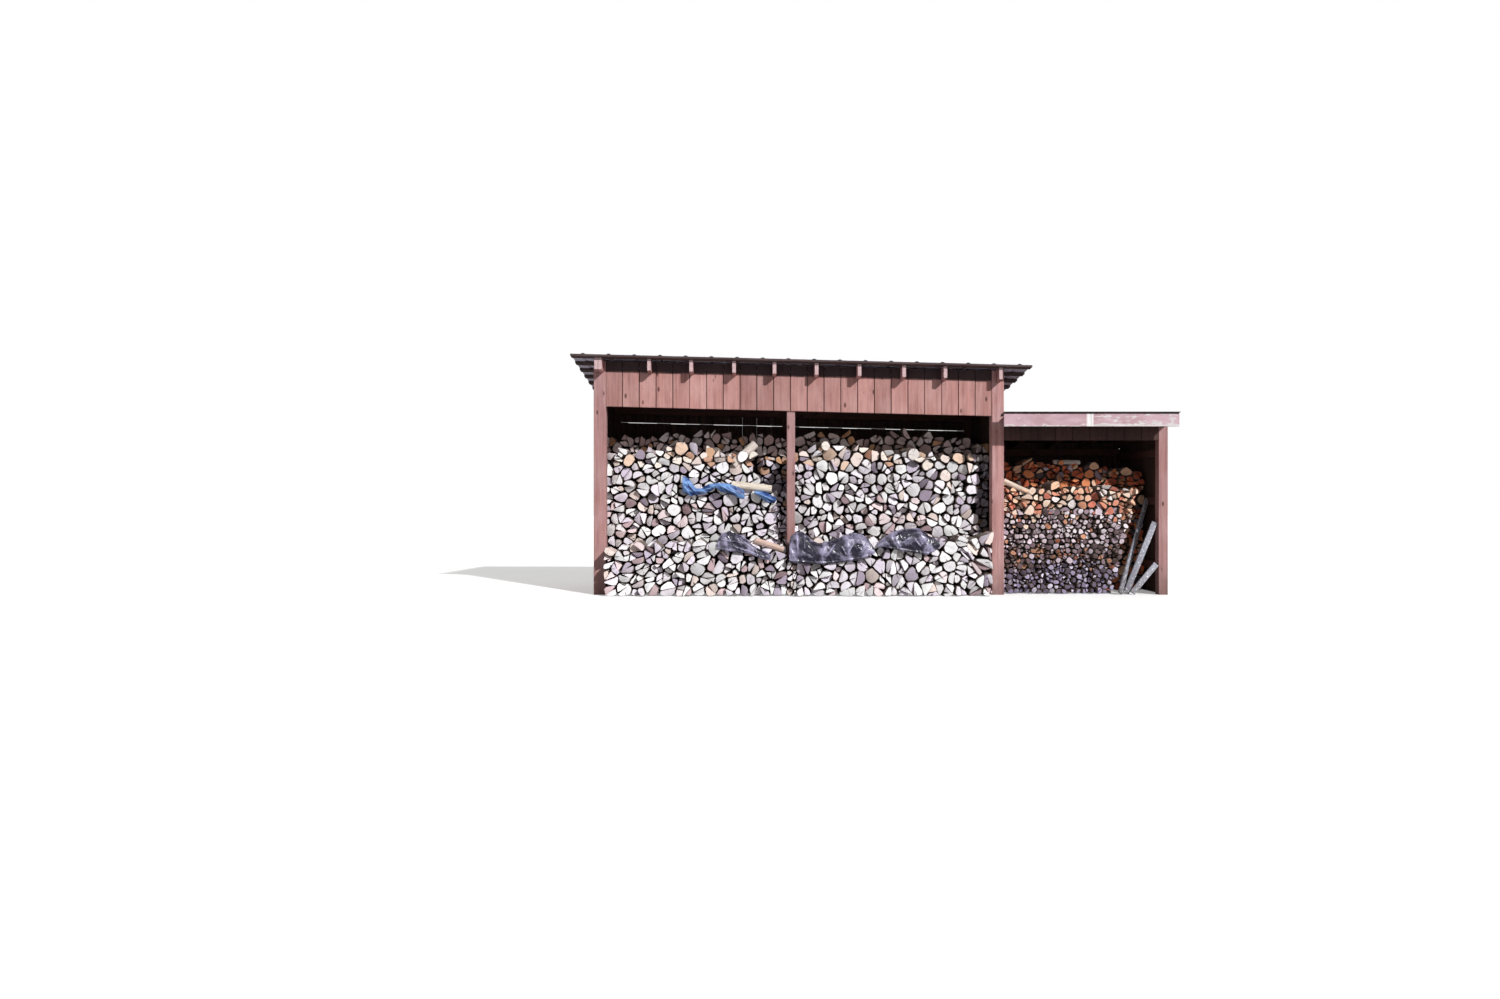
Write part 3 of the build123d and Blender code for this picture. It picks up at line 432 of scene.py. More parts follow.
def floor_finish(name):
    """A nearly white floor to the camera, and a duller one to the light that bounces off it."""
    f = Finish(name)
    camera_ray = f.node("LightPath", {}).outputs["Is Camera Ray"]
    haze = f.noise(f.place(), 1.2, detail=3.0)
    colour = f.mix(f.rise(haze, 0.3, 0.7), (0.88, 0.88, 0.87, 1.0), (0.90, 0.90, 0.89, 1.0))
    colour = f.mix(camera_ray, (0.36, 0.35, 0.35, 1.0), colour)
    f.put(f.shader.inputs["Emission Color"], (1.0, 1.0, 1.0, 1.0))
    f.put(f.shader.inputs["Emission Strength"], f.times(camera_ray, FLOOR_GLOW))
    return f.finish(colour, 0.9)


# Pieces

def add_object(name, data, *materials):
    made = bpy.data.objects.new(name, data)
    bpy.context.scene.collection.objects.link(made)
    for material in materials:
        data.materials.append(material)
    return made


def new_mesh(name, verts, faces):
    mesh = bpy.data.meshes.new(name)
    mesh.from_pydata(verts, [], faces)
    return mesh


def add_layer(mesh, name, kind, field, values, domain="POINT"):
    mesh.attributes.new(name, kind, domain).data.foreach_set(field, values)


def settle(piece, slot, *nodes):
    """Ride on the model's one body and stand for the nodes. The slot is not used."""
    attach(piece, "root")
    if nodes:
        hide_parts(*nodes)
    return piece


def corners_of(verts):
    low = Vector([min(v.co[i] for v in verts) for i in range(3)])
    high = Vector([max(v.co[i] for v in verts) for i in range(3)])
    return low, high


def islands(bm):
    """The vertices and faces of each separate solid, in order of place."""
    bm.verts.index_update()
    left = set(bm.faces)
    found = []
    for first in bm.faces:
        if first not in left:
            continue
        left.remove(first)
        faces = [first]
        for face in faces:
            for edge in face.edges:
                new = [other for other in edge.link_faces if other in left]
                left.difference_update(new)
                faces += new
        verts = sorted({v for face in faces for v in face.verts}, key=lambda v: v.index)
        found.append((verts, faces))
    return sorted(found, key=lambda pair: tuple(round(c, 4) for c in corners_of(pair[0])[0]))


AXES = {"x": Vector((1, 0, 0)), "y": Vector((0, 1, 0)), "z": Vector((0, 0, 1))}


def long_axis(verts, grain):
    """The direction of the grain: a named axis, or the longest way through the solid."""
    if grain in AXES:
        return AXES[grain]
    points = [v.co for v in verts]
    start = points[0]
    first = max(points, key=lambda p: (p - start).length)
    second = max(points, key=lambda p: (p - first).length)
    return (second - first).normalized()


def board_piece(node, material, slot, grain, ease, shift, side_by_side, seed):
    """A CAD node's boards with eased edges, each with its own grain and tone, set back up to shift.

    Where boards stand side by side along an axis, the edges of the joints are dark, and the joints
    of even boards are narrowed. Returns the box of each board.
    """
    rng = random.Random(seed)
    bm = bmesh.new()
    bm.from_mesh(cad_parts[node].data)
    bmesh.ops.remove_doubles(bm, verts=bm.verts, dist=1e-5)
    bmesh.ops.dissolve_limit(bm, angle_limit=0.02, verts=bm.verts, edges=bm.edges)
    for _, faces in islands(bm):
        bm.edges.index_update()
        edges = {edge for face in faces for edge in face.edges}
        sharp = [edge for edge in edges if edge.calc_face_angle(0.0) > SHARP_ANGLE]
        sharp.sort(key=lambda edge: edge.index)
        bmesh.ops.bevel(bm, geom=sharp, offset=ease, segments=1, affect="EDGES", clamp_overlap=True)
    bm.normal_update()
    grain_layer = bm.verts.layers.float_vector.new("grain")
    shade_layer = bm.verts.layers.float.new("shade")
    end_layer = bm.faces.layers.float.new("end")
    joint_layer = bm.faces.layers.float.new("joint")
    boxes = []
    for verts, faces in islands(bm):
        axis = long_axis(verts, grain)
        across = axis.cross(Vector((0.31, 0.87, 0.38))).normalized()
        third = axis.cross(across)
        away = Vector([rng.uniform(-40, 40) for _ in range(3)])
        shade = rng.random()
        step = Vector((0, rng.uniform(0, shift), 0))
        low, high = corners_of(verts)
        boxes.append((low + step, high + step))
        for face in faces:
            face[end_layer] = float(abs(face.normal.dot(axis)) > 0.9)
        if side_by_side:
            along = "xyz".index(side_by_side)
            middle = (low[along] + high[along]) / 2
            for face in faces:
                face[joint_layer] = float(0.3 < abs(face.normal[along]) < 0.9)
            for vert in verts:
                vert.co[along] += math.copysign(0.0 if shift else CLOSED_GAP, vert.co[along] - middle)
        for vert in verts:
            grained = Vector((vert.co.dot(axis), vert.co.dot(across), vert.co.dot(third)))
            vert[grain_layer] = grained + away
            vert[shade_layer] = shade
            vert.co += step
    mesh = bpy.data.meshes.new(node + "_boards")
    bm.to_mesh(mesh)
    bm.free()
    settle(add_object(node + "_boards", mesh, material), slot, node)
    return boxes


def face_nails(boards, rails, axis, side):
    """Two nails for each board at each rail, on the outer face of a wall that looks along an axis."""
    along = 1 - axis
    out = Vector([side if i == axis else 0.0 for i in range(3)])
    spots = []
    for low, high in boards:
        face = high[axis] if side > 0 else low[axis]
        width = high[along] - low[along]
        for rail_low, rail_high in rails:
            level = (rail_low.z + rail_high.z) / 2
            if low.z + 0.02 < level < high.z - 0.02 and width > 0.06:
                for share in NAIL_SHARES:
                    away = NAIL_UNEVENNESS * math.sin(50.0 * low[along] + 9.0 * share)
                    spot = Vector((0.0, 0.0, level + away))
                    spot[axis] = face
                    spot[along] = low[along] + share * width
                    spots.append((spot, out))
    return spots


def roof_screws(panels, battens):
    """Screws through the flats of the metal along each batten."""
    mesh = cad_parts[panels].data
    tree = BVHTree.FromPolygons([v.co for v in mesh.vertices], [list(p.vertices) for p in mesh.polygons])
    spots = []
    for low, high in battens:
        count = round((high.x - low.x) / SCREW_PITCH)
        for i in range(count):
            x = low.x + (i + 0.5) * (high.x - low.x) / count
            above = Vector((x, (low.y + high.y) / 2, high.z + 1.0))
            hit, normal, _, _ = tree.ray_cast(above, Vector((0, 0, -1)))
            if hit and normal.z > 0.9:
                spots.append((hit, normal))
    return spots


def studs(name, spots, radius, height):
    """Round heads of nails or screws at (place, direction) spots."""
    turns = [2 * math.pi * i / STUD_SIDES for i in range(STUD_SIDES)]
    verts, faces = [], []
    for place, out in spots:
        out = out.normalized()
        u = out.orthogonal().normalized()
        v = out.cross(u)
        base = len(verts)
        for rise, width in ((-0.001, 1.0), (height * 0.6, 1.0), (height, 0.6)):
            for turn in turns:
                round_it = (u * math.cos(turn) + v * math.sin(turn)) * radius * width
                verts.append(place + out * rise + round_it)
        for ring in (base, base + STUD_SIDES):
            for i in range(STUD_SIDES):
                a, b = ring + i, ring + (i + 1) % STUD_SIDES
                faces.append((a, b, b + STUD_SIDES, a + STUD_SIDES))
        faces.append(tuple(base + 2 * STUD_SIDES + i for i in range(STUD_SIDES)))
        faces.append(tuple(base + STUD_SIDES - 1 - i for i in range(STUD_SIDES)))
    settle(add_object(name, new_mesh(name, verts, faces), STEEL), "roof_metal")


# Firewood: a stack is shared out into cells, and most are split like rounds under an axe. A cell is
# a list of (x, z, face), where face is the bark or split face along the edge that starts there.

def cut_cell(cell, px, pz, nx, nz, face):
    """The part of a convex cell behind the line through p with this normal."""
    kept = []
    for (ax, az, a_face), (bx, bz, _) in zip(cell, cell[1:] + cell[:1]):
        a_side = (ax - px) * nx + (az - pz) * nz
        b_side = (bx - px) * nx + (bz - pz) * nz
        if a_side <= 0:
            kept.append((ax, az, a_face))
        if (a_side <= 0) != (b_side <= 0):
            t = a_side / (a_side - b_side)
            kept.append((ax + t * (bx - ax), az + t * (bz - az), face if a_side <= 0 else a_face))
    return kept


def cell_of(index, seeds, corners, reach):
    """The part of the rectangle that is nearest to one of the seeds."""
    x0, x1, z0, z1 = corners
    sx, sz = seeds[index]
    cell = [(x0, z0, BARK), (x1, z0, BARK), (x1, z1, BARK), (x0, z1, BARK)]
    for other, (ox, oz) in enumerate(seeds):
        if other != index and abs(ox - sx) < reach and abs(oz - sz) < reach:
            cell = cut_cell(cell, (sx + ox) / 2, (sz + oz) / 2, ox - sx, oz - sz, BARK)
    return cell


def centre_of(cell):
    return sum(p[0] for p in cell) / len(cell), sum(p[1] for p in cell) / len(cell)


def area_of(cell):
    return abs(sum(a[0] * b[1] - b[0] * a[1] for a, b in zip(cell, cell[1:] + cell[:1]))) / 2


def stack_cells(corners, size, rng):
    """Share out a rectangle of stack into uneven cells."""
    x0, x1, z0, z1 = corners
    columns = max(2, round((x1 - x0) / size))
    courses = max(1, math.ceil((z1 - z0) / (size * COURSE_SHARE)))
    step, rise = (x1 - x0) / columns, (z1 - z0) / courses
    seeds = []
    for course in range(courses):
        for column in range(columns):
            x = x0 + (column + (0.3 if course % 2 else 0.7) + rng.uniform(-JITTER, JITTER)) * step
            z = z0 + (course + 0.5 + rng.uniform(-JITTER, JITTER)) * rise
            seeds.append((min(max(x, x0 + 0.1 * step), x1 - 0.1 * step), z))
    evened = []
    for i, (x, z) in enumerate(seeds):
        cx, cz = centre_of(cell_of(i, seeds, corners, 3 * size))
        evened.append((x + EVENING * (cx - x), z + EVENING * (cz - z)))
    return [cell_of(i, evened, corners, 3 * size) for i in range(len(evened))]


def split_cell(cell, parts, rng):
    """Split a cell into that many pieces, each time the largest, through its middle."""
    pieces = [cell]
    while len(pieces) < parts:
        largest = max(pieces, key=area_of)
        pieces.remove(largest)
        cx, cz = centre_of(largest)
        corner = min(largest, key=lambda point: math.hypot(point[0] - cx, point[1] - cz))
        along = math.atan2(corner[1] - cz, corner[0] - cx) + rng.uniform(-0.35, 0.35)
        nx, nz = -math.sin(along), math.cos(along)
        pieces.append(cut_cell(largest, cx, cz, nx, nz, SPLIT))
        pieces.append(cut_cell(largest, cx, cz, -nx, -nz, SPLIT))
    return [piece for piece in pieces if len(piece) > 2]


def round_outline(cell, gap, rng):
    """Points round a whole log, between its cell and a circle."""
    cx, cz = centre_of(cell)
    turns = [2 * math.pi * i / ROUND_POINTS for i in range(ROUND_POINTS)]
    reaches = []
    for turn in turns:
        dx, dz = math.cos(turn), math.sin(turn)
        reach = 1.0
        for (ax, az, _), (bx, bz, _) in zip(cell, cell[1:] + cell[:1]):
            nx, nz = bz - az, ax - bx
            facing = nx * dx + nz * dz
            if facing > 1e-9:
                reach = min(reach, ((ax - cx) * nx + (az - cz) * nz) / facing)
        reaches.append(reach)
    middle = sum(sorted(reaches)[:8]) / 8
    outline = []
    for turn, reach in zip(turns, reaches):
        r = min(reach, middle * (ROUNDNESS + rng.uniform(-0.08, 0.06))) - gap
        outline.append((cx + math.cos(turn) * r, cz + math.sin(turn) * r, BARK))
    return outline


def split_outline(cell, gap):
    """A split log's end: pulled in from its cell, with its corners cut off, most where bark meets bark."""
    cx, cz = centre_of(cell)
    shrink = 1 - 2.2 * gap / math.sqrt(area_of(cell))
    outline = []
    for i, (x, z, face) in enumerate(cell):
        before, after = cell[i - 1], cell[(i + 1) % len(cell)]
        barked = SPLIT not in (face, before[2])
        cut = BARK_CUT if barked else SPLIT_CUT
        edge = BARK if barked else SPLIT
        outline.append((x + (before[0] - x) * cut, z + (before[1] - z) * cut, edge))
        outline.append((x + (after[0] - x) * cut, z + (after[1] - z) * cut, face))
    return [(cx + (x - cx) * shrink, cz + (z - cz) * shrink, face) for x, z, face in outline]


def turned(outline, angle):
    cx, cz = centre_of(outline)
    c, s = math.cos(angle), math.sin(angle)
    return [(cx + (x - cx) * c - (z - cz) * s, cz + (x - cx) * s + (z - cz) * c, face)
            for x, z, face in outline]


def line_height(line, x):
    """Height of a broken line of (x, z) points over x."""
    for (ax, az), (bx, bz) in zip(line, line[1:]):
        if x <= bx:
            return az + (bz - az) * max(0.0, x - ax) / (bx - ax)
    return line[-1][1]


def top_line(x0, x1, heights):
    step = (x1 - x0) / (len(heights) - 1)
    return [(x0 + i * step, height) for i, height in enumerate(heights)]


def picked(palette, rng):
    """A colour from a palette of (weight, (r, g, b)), a little lighter or darker."""
    roll = rng.uniform(0, sum(weight for weight, _ in palette))
    for weight, colour in palette:
        roll -= weight
        if roll <= 0:
            break
    light = rng.uniform(*LIGHTNESS)
    return linear(*[min(255, c * light) for c in colour])


class Logs:
    """Many logs gathered into one mesh."""

    def __init__(self):
        self.verts, self.ring, self.tint, self.tone = [], [], [], []
        self.faces, self.ends, self.bark = [], [], []

    def add_face(self, corners, end, bark):
        self.faces.append(tuple(corners))
        self.ends.append(end)
        self.bark.append(bark)

    def add(self, outline, pith, front, length, tint, rng, placed=lambda x, y, z: (x, y, z)):
        """A log with this end outline. For a loose log, placed maps (x, y, z) to its place."""
        cx, cz = centre_of(outline)
        tilt_x, tilt_z = rng.uniform(-END_TILT, END_TILT), rng.uniform(-END_TILT, END_TILT)
        bow_x, bow_z = rng.uniform(-LOG_BOW, LOG_BOW), rng.uniform(-LOG_BOW, LOG_BOW)
        taper = rng.uniform(LEAST_TAPER, 1.0)
        tone = rng.random()
        base, count = len(self.verts), len(outline)
        eased = 1 - END_EASE / max(0.02, math.sqrt(area_of(outline)) / 2)
        middle = (length * 0.5, (1 + taper) / 2, 1)
        for depth, scale, bow in ((0.0, eased, 0), (EASE_DEPTH, 1.0, 0), middle, (length, taper, 0)):
            for x, z, _ in outline:
                px = cx + (x - cx) * scale + bow * bow_x
                pz = cz + (z - cz) * scale + bow * bow_z
                slant = tilt_x * (x - cx) + tilt_z * (z - cz) if depth <= EASE_DEPTH else 0.0
                self.verts.append(placed(px, front + depth + slant, pz))
                self.ring.append((px - pith[0], depth, pz - pith[1]))
                self.tint.append(tint)
                self.tone.append(tone)
        self.add_face(range(base, base + count), True, 0.0)
        for ring in range(base, base + 3 * count, count):
            for i in range(count):
                a, b = ring + i, ring + (i + 1) % count
                self.add_face((a, a + count, b + count, b), False, float(outline[i][2] != SPLIT))
        self.add_face(range(base + 4 * count - 1, base + 3 * count - 1, -1), True, 0.0)

    def fill(self, seed, line, bottom, front, size, kind, colours, right_edge=(), sheets=(),
             length=LOG_LENGTH):
        """Logs up to a broken top line, and to the left of the right edge where there is one.

        The kind gives the weights of 1, 2, 3 and 4 pieces to a cell, and the share of the split
        pieces that look round. Logs behind the sheets (x and z ranges, back) stay clear of them.
        """
        splits, round_share = kind
        rng = random.Random(seed)
        highest = max(z for _, z in line) + size / 2
        for cell in stack_cells((line[0][0], line[-1][0], bottom, highest), size, rng):
            parts = rng.choices((1, 2, 3, 4), splits)[0]
            for piece in split_cell(cell, parts, rng):
                cx, cz = centre_of(piece)
                gap = rng.uniform(*LOG_GAP)
                start = front + rng.triangular(*SET_BACK, 0.0)
                long = length + rng.uniform(-LENGTH_SPREAD, LENGTH_SPREAD)
                for x_min, x_max, z_min, z_max, back in sheets:
                    if x_min < cx < x_max and z_min < cz < z_max:
                        start = max(start, back + SHEET_CLEARANCE)
                tint = picked(colours(cx, cz, rng), rng)
                whole = rng.random() < (WHOLE_ROUND if parts == 1 else round_share)
                turn = rng.uniform(-LOG_TURN, LOG_TURN)
                if cz > line_height(line, cx) or area_of(piece) < LEAST_AREA:
                    continue
                if right_edge and cx > line_height(right_edge, cz):
                    continue
                if whole:
                    outline, pith = round_outline(piece, gap, rng), (cx, cz)
                else:
                    outline, pith = turned(split_outline(piece, gap), turn), centre_of(cell)
                outline = [(x, max(z, 0.0), face) for x, z, face in outline]
                self.add(outline, pith, start, long, tint, rng)

    def lay(self, seed, start, end, radius, colour, bare):
        """A loose log on the stack, from start to end. A bare one is split all round."""
        rng = random.Random(seed)
        a, b = Vector(start), Vector(end)
        along = (b - a).normalized()
        u = along.cross(AXES["z"]).normalized()
        v = u.cross(along)
        turns = [2 * math.pi * (i + rng.uniform(-0.2, 0.2)) / 7 for i in range(7)]
        cell = [(radius * math.cos(t), radius * math.sin(t), SPLIT) for t in turns]
        outline = split_outline(cell, LOOSE_GAP) if bare else round_outline(cell, LOOSE_GAP, rng)
        self.add(outline, (0, 0), 0.0, (b - a).length, linear(*colour), rng,
                 lambda x, y, z: tuple(a + u * x + along * y + v * z))

    def piece(self, name, slot, *nodes):
        verts = [(x, y + FRONT_LINE, max(z, 0.0)) for x, y, z in self.verts]
        mesh = new_mesh(name, verts, self.faces)
        piece = add_object(name, mesh, LOG_END, LOG_SIDE)
        sides = [not end for end in self.ends]
        mesh.polygons.foreach_set("material_index", sides)
        mesh.polygons.foreach_set("use_smooth", sides)
        add_layer(mesh, "ring", "FLOAT_VECTOR", "vector", [v for row in self.ring for v in row])
        add_layer(mesh, "tint", "FLOAT_COLOR", "color", [v for row in self.tint for v in row])
        add_layer(mesh, "tone", "FLOAT", "value", self.tone)
        add_layer(mesh, "bark", "FLOAT", "value", self.bark, "FACE")
        mesh.set_sharp_from_angle(angle=SMOOTH_ANGLE)
        mesh.update()
        settle(piece, slot, *nodes)


# Colours of the firewood as (weight, colour): weathered ends, fresher ones on top, and darker,
# bluish ones low in the side bay

PALE = ((8, (255, 253, 255)), (5, (252, 246, 254)), (2.5, (238, 228, 242)), (1, (206, 194, 212)),
        (0.6, (164, 150, 168)), (1.5, (246, 228, 220)))
PINKISH = ((3, (253, 232, 234)), (2, (236, 208, 212)), (4, (254, 247, 252)), (1, (202, 174, 180)),
           (0.5, (160, 134, 140)))
FRESH = ((3, (242, 210, 186)), (2, (226, 178, 150)), (4, (250, 238, 226)), (0.7, (212, 154, 126)),
         (2, (236, 220, 212)))
DIM = ((3, (240, 216, 214)), (2, (206, 178, 176)), (3, (252, 238, 238)), (1, (232, 178, 136)))
RECESS = ((3, (216, 208, 226)), (2, (244, 238, 250)), (2, (176, 162, 176)), (1, (206, 164, 136)))
ORANGE = ((3, (255, 200, 168)), (2, (248, 164, 134)), (3.5, (255, 226, 204)), (1.3, (222, 130, 108)),
          (1.4, (254, 244, 242)))
OLD = ((4, (232, 214, 226)), (2, (180, 158, 172)), (3, (252, 240, 248)), (2, (112, 92, 102)),
       (0.8, (214, 150, 118)))
RED_HEART = ((3, (255, 158, 104)), (2, (240, 124, 84)), (2, (255, 206, 170)), (1.6, (196, 98, 66)))
BROWNED = ((3, (150, 130, 142)), (3, (104, 86, 92)), (2, (196, 140, 112)), (2, (212, 196, 210)),
           (1, (178, 104, 78)))
BLUED = ((3, (186, 176, 210)), (3, (140, 130, 164)), (2, (96, 86, 112)), (2.4, (230, 222, 244)),
         (0.4, (170, 120, 100)))


def main_colours(x, z, rng):
    """Pale in the upper stacks, pinkish patches lower, and fresh wood in the top courses."""
    patch = noise.noise(Vector((x * 1.3, z * 1.8, 4.0)))
    if z > 1.62 and rng.random() < 0.55 + 0.5 * patch:
        return FRESH
    if z > 1.62 and -1.6 < x < -0.4:
        return FRESH if rng.random() < 0.6 else PALE
    if 0.75 < z < 1.2 and rng.random() < 0.3 + patch:
        return PINKISH
    return PALE


def low_colours(x, z, rng):
    return PINKISH if rng.random() < 0.2 else PALE


def dim_colours(x, z, rng):
    return DIM if z > 1.7 else RECESS


def side_colours(x, z, rng):
    """From the top: orange wood, old grey wood, a darker brownish band and a bluish foot."""
    level = z + 0.05 * math.sin(3.1 * x) + rng.uniform(-0.08, 0.08)
    if level > 1.03:
        return ORANGE
    if level > 0.93:
        return ORANGE if rng.random() < 0.4 else OLD
    if level < 0.34:
        return BLUED
    return BROWNED if level < 0.58 else OLD


def side_back_colours(x, z, rng):
    return RED_HEART if rng.random() < 0.78 else BROWNED


# Plastic sheets

def folds(x, z, seed, lean=0.4):
    """Height of a crumpled sheet, about 0 to 1: long sharp crests and smooth hollows between."""
    height = 0.0
    for scale, share in ((3.4, 0.62), (8.0, 0.26), (19.0, 0.12)):
        spot = Vector(((x + lean * z) * scale, z * scale * 0.55, seed * 5.7 + scale))
        height += share * max(0.0, 1.0 - 3.2 * abs(noise.noise(spot))) ** 1.4
    return height


def crease_height(creases, x, z):
    """How far the creases ((x, z), (x, z), width, height) lift the sheet. Each tapers to its second end."""
    lift = 0.0
    for (ax, az), (bx, bz), width, height in creases:
        dx, dz = bx - ax, bz - az
        t = min(1.0, max(0.0, ((x - ax) * dx + (z - az) * dz) / (dx * dx + dz * dz)))
        away = math.hypot(x - ax - t * dx, z - az - t * dz)
        away += 0.006 * noise.noise(Vector((x * 24, z * 24, 2.0)))
        taper = math.sin(math.pi * (0.12 + 0.88 * t)) ** 0.6
        near = max(0.0, 1.0 - max(0.0, away) / (CREASE_SPREAD * width))
        lift = max(lift, height * taper * near ** 1.2)
    return lift


def sheet_piece(name, node, material, slot, ends, grid, thickness, point):
    """A thin sheet over a grid.

    For a row, x and the share of the width, point gives y, z and the weight of the pale crests, partly a
    dusting and partly painted sheen.
    """
    x0, x1 = ends
    columns, rows = grid
    verts, crests, faces = [], [], []
    for j in range(rows + 1):
        for i in range(columns + 1):
            x = x0 + (x1 - x0) * i / columns
            y, z, fold = point(j, x, i / columns)
            verts.append((x, y + FRONT_LINE, z))
            crests.append(fold)
            if i and j:
                a = len(verts) - columns - 3
                faces.append((a, a + 1, a + columns + 2, a + columns + 1))
    mesh = new_mesh(name, verts, faces)
    mesh.polygons.foreach_set("use_smooth", [True] * len(faces))
    add_layer(mesh, "fold", "FLOAT", "value", crests)
    piece = settle(add_object(name, mesh, material), slot, node)
    shell = piece.modifiers.new("thickness", "SOLIDIFY")
    shell.thickness = thickness
    shell.offset = 0.0


def draped_sheet(node, top, hem, flap, bulge, creases, seed, rests_on):
    """A sheet that lies back over the low row from its top line, and hangs down the front to its hem."""
    def point(j, x, u):
        high, low = line_height(top, x), line_height(hem, x)
        if j < ROWS_BACK:
            t = 1 - j / ROWS_BACK
            fold = folds(x, 3 + t * flap, seed)
            return BLACK_FACE + 0.03 + flap * t, high + 0.004 - 0.10 * t * t + 0.03 * fold, fold
        t = (j - ROWS_BACK) / ROWS_DOWN
        z = high + (low - high) * t
        ease = min(1.0, t * 6)
        swell = math.sin(math.pi * min(1.0, t * 0.98)) ** 0.6
        side = math.sin(math.pi * u ** 0.9)
        fold = folds(x, z, seed)
        crease = crease_height(creases, x, z)
        rise = 0.030 * fold * (0.35 + 0.65 * swell) + 0.8 * crease
        hem_roll = 0.016 * max(0.0, 1 - abs(t - 0.94) / 0.07)
        y = BLACK_FACE + 0.03 * (1 - ease) - bulge * swell * (0.4 + 0.6 * side)
        # The third value makes the creases pale: painted highlight on them, with a dusting on the folds
        return y - rise * (0.3 + 0.7 * ease) - hem_roll, z, 0.8 * fold + 24.0 * crease

    grid = (DRAPED_COLUMNS, ROWS_BACK + ROWS_DOWN)
    sheet_piece(node + "_cloth", node, BLACK_PLASTIC, "black_plastic", (top[0][0], top[-1][0]),
                grid, BLACK_THICKNESS, point)


def caught_sheet(name, top, bottom, creases, seed):
    """A strip of blue sheet caught between logs, crumpled between its top and bottom lines."""
    def point(j, x, u):
        t = j / CAUGHT_ROWS
        high, low = line_height(top, x), line_height(bottom, x)
        z = high + (low - high) * t
        fold = folds(x * 1.5, z * 1.6, seed, 1.2)
        rise = max(0.03 * fold, crease_height(creases, x, z))
        # The third value makes the crests pale: a dusting and painted sheen
        return BLUE_FACE - 0.035 * math.sin(math.pi * t) - rise, z, max(fold, rise / 0.04)

    grid = (CAUGHT_COLUMNS, CAUGHT_ROWS)
    sheet_piece(name, "blue_sheet", BLUE_PLASTIC, "blue_plastic", (top[0][0], top[-1][0]),
                grid, BLUE_THICKNESS, point)


# Materials
STAINED = ((142, 96, 96), (198, 147, 143), (222, 186, 187), (220, 192, 194))
# The front boards carry painted shade of the eave along their top
FRONT = timber_finish("front_boards", ((136, 88, 86), (190, 138, 131), (214, 173, 169), (204, 170, 166)),
                      painted_eave_shade=(2.70, 0.025))
STAIN = timber_finish("stained_timber", STAINED)
# These walls carry painted shade, dark brown, on the faces that look into the shed
REAR_WALL = timber_finish("rear_boards", STAINED, painted_inner_shade=(0.0, -1.0, 0.0))
LEFT_WALL = timber_finish("left_boards", STAINED, painted_inner_shade=(1.0, 0.0, 0.0))
RIGHT_WALL = timber_finish("right_boards", STAINED, painted_inner_shade=(-1.0, 0.0, 0.0))
SHADED = timber_finish("inner_timber", ((70, 42, 38), (104, 68, 60), (124, 88, 80), (150, 116, 108)))
# Header boards: a dark copy of the stain, painted shade of the fascia's overhang
SHADED_HEADER = timber_finish("header_boards", ((48, 28, 24), (78, 50, 44), (96, 66, 60), (120, 90, 84)))
BARE = timber_finish("bare_board", ((44, 32, 34), (72, 54, 54), (108, 90, 88), (90, 72, 70)))
OLD_PLANK = timber_finish("old_plank", ((84, 82, 92), (150, 150, 164), (206, 208, 218), (170, 168, 174)),
                          specks=(246, 248, 252))
PEELING = peeling_finish("fascia_paint")
METAL = metal_finish("roof_metal")
FELT = felt_finish("roof_cover")
LOG_END = log_end_finish("log_end")
LOG_SIDE = log_side_finish("log_side")
STACK = stack_finish("stack_behind")
BLACK_PLASTIC = plastic_finish("black_plastic", (40, 37, 54), (172, 166, 196), 0.16)
BLUE_PLASTIC = plastic_finish("blue_plastic", (22, 56, 118), (122, 162, 220), 0.28)
STEEL = steel_finish("nail_steel")

# Timber: material, grain, ease of the edges, and the nodes
TIMBER = (
    (FRONT, "z", 0.005, "front_band"),
    (STAIN, "z", 0.005, "front_post_left front_post_middle front_post_right"),
    (STAIN, "long", 0.003, "rafters"),
    (SHADED, "x", 0.004, "front_beam rear_beam"),
    (SHADED, "z", 0.004, "rear_posts"),
    (SHADED, "x", 0.003, "rear_rails"),
    (SHADED, "y", 0.003, "side_rails_left side_rails_right"),
    (LEFT_WALL, "z", 0.0025, "side_wall_left"),
    (RIGHT_WALL, "z", 0.0025, "side_wall_right"),
    (REAR_WALL, "z", 0.0025, "rear_wall"),
    (BARE, "x", 0.003, "roof_battens"),
    (STAIN, "z", 0.005, "side_bay_front_post"),
    (SHADED_HEADER, "z", 0.004, "side_bay_header"),
    (SHADED, "x", 0.003, "side_bay_front_beam side_bay_rear_beam"),
    (SHADED, "z", 0.003, "side_bay_rear_posts"),
    (SHADED, "long", 0.003, "side_bay_rafters"),
    (SHADED, "y", 0.003, "side_bay_rails"),
    (SHADED, "x", 0.003, "side_bay_rear_rails"),
    (RIGHT_WALL, "z", 0.0025, "side_bay_wall"),
    (REAR_WALL, "z", 0.0025, "side_bay_rear_wall"),
    (BARE, "x", 0.002, "side_bay_roof_deck"),
    (PEELING, "x", 0.003, "side_bay_fascia"),
    (OLD_PLANK, "long", 0.004, "leaning_planks"),
)
SLOTS = {"roof_battens": "bare_board", "side_bay_roof_deck": "bare_board",
         "side_bay_fascia": "fascia_paint", "leaning_planks": "old_plank"}
# How far the boards may stand back, where the joints between them stay open
UNEVEN = {"front_band": 0.006, "side_bay_header": 0.004}
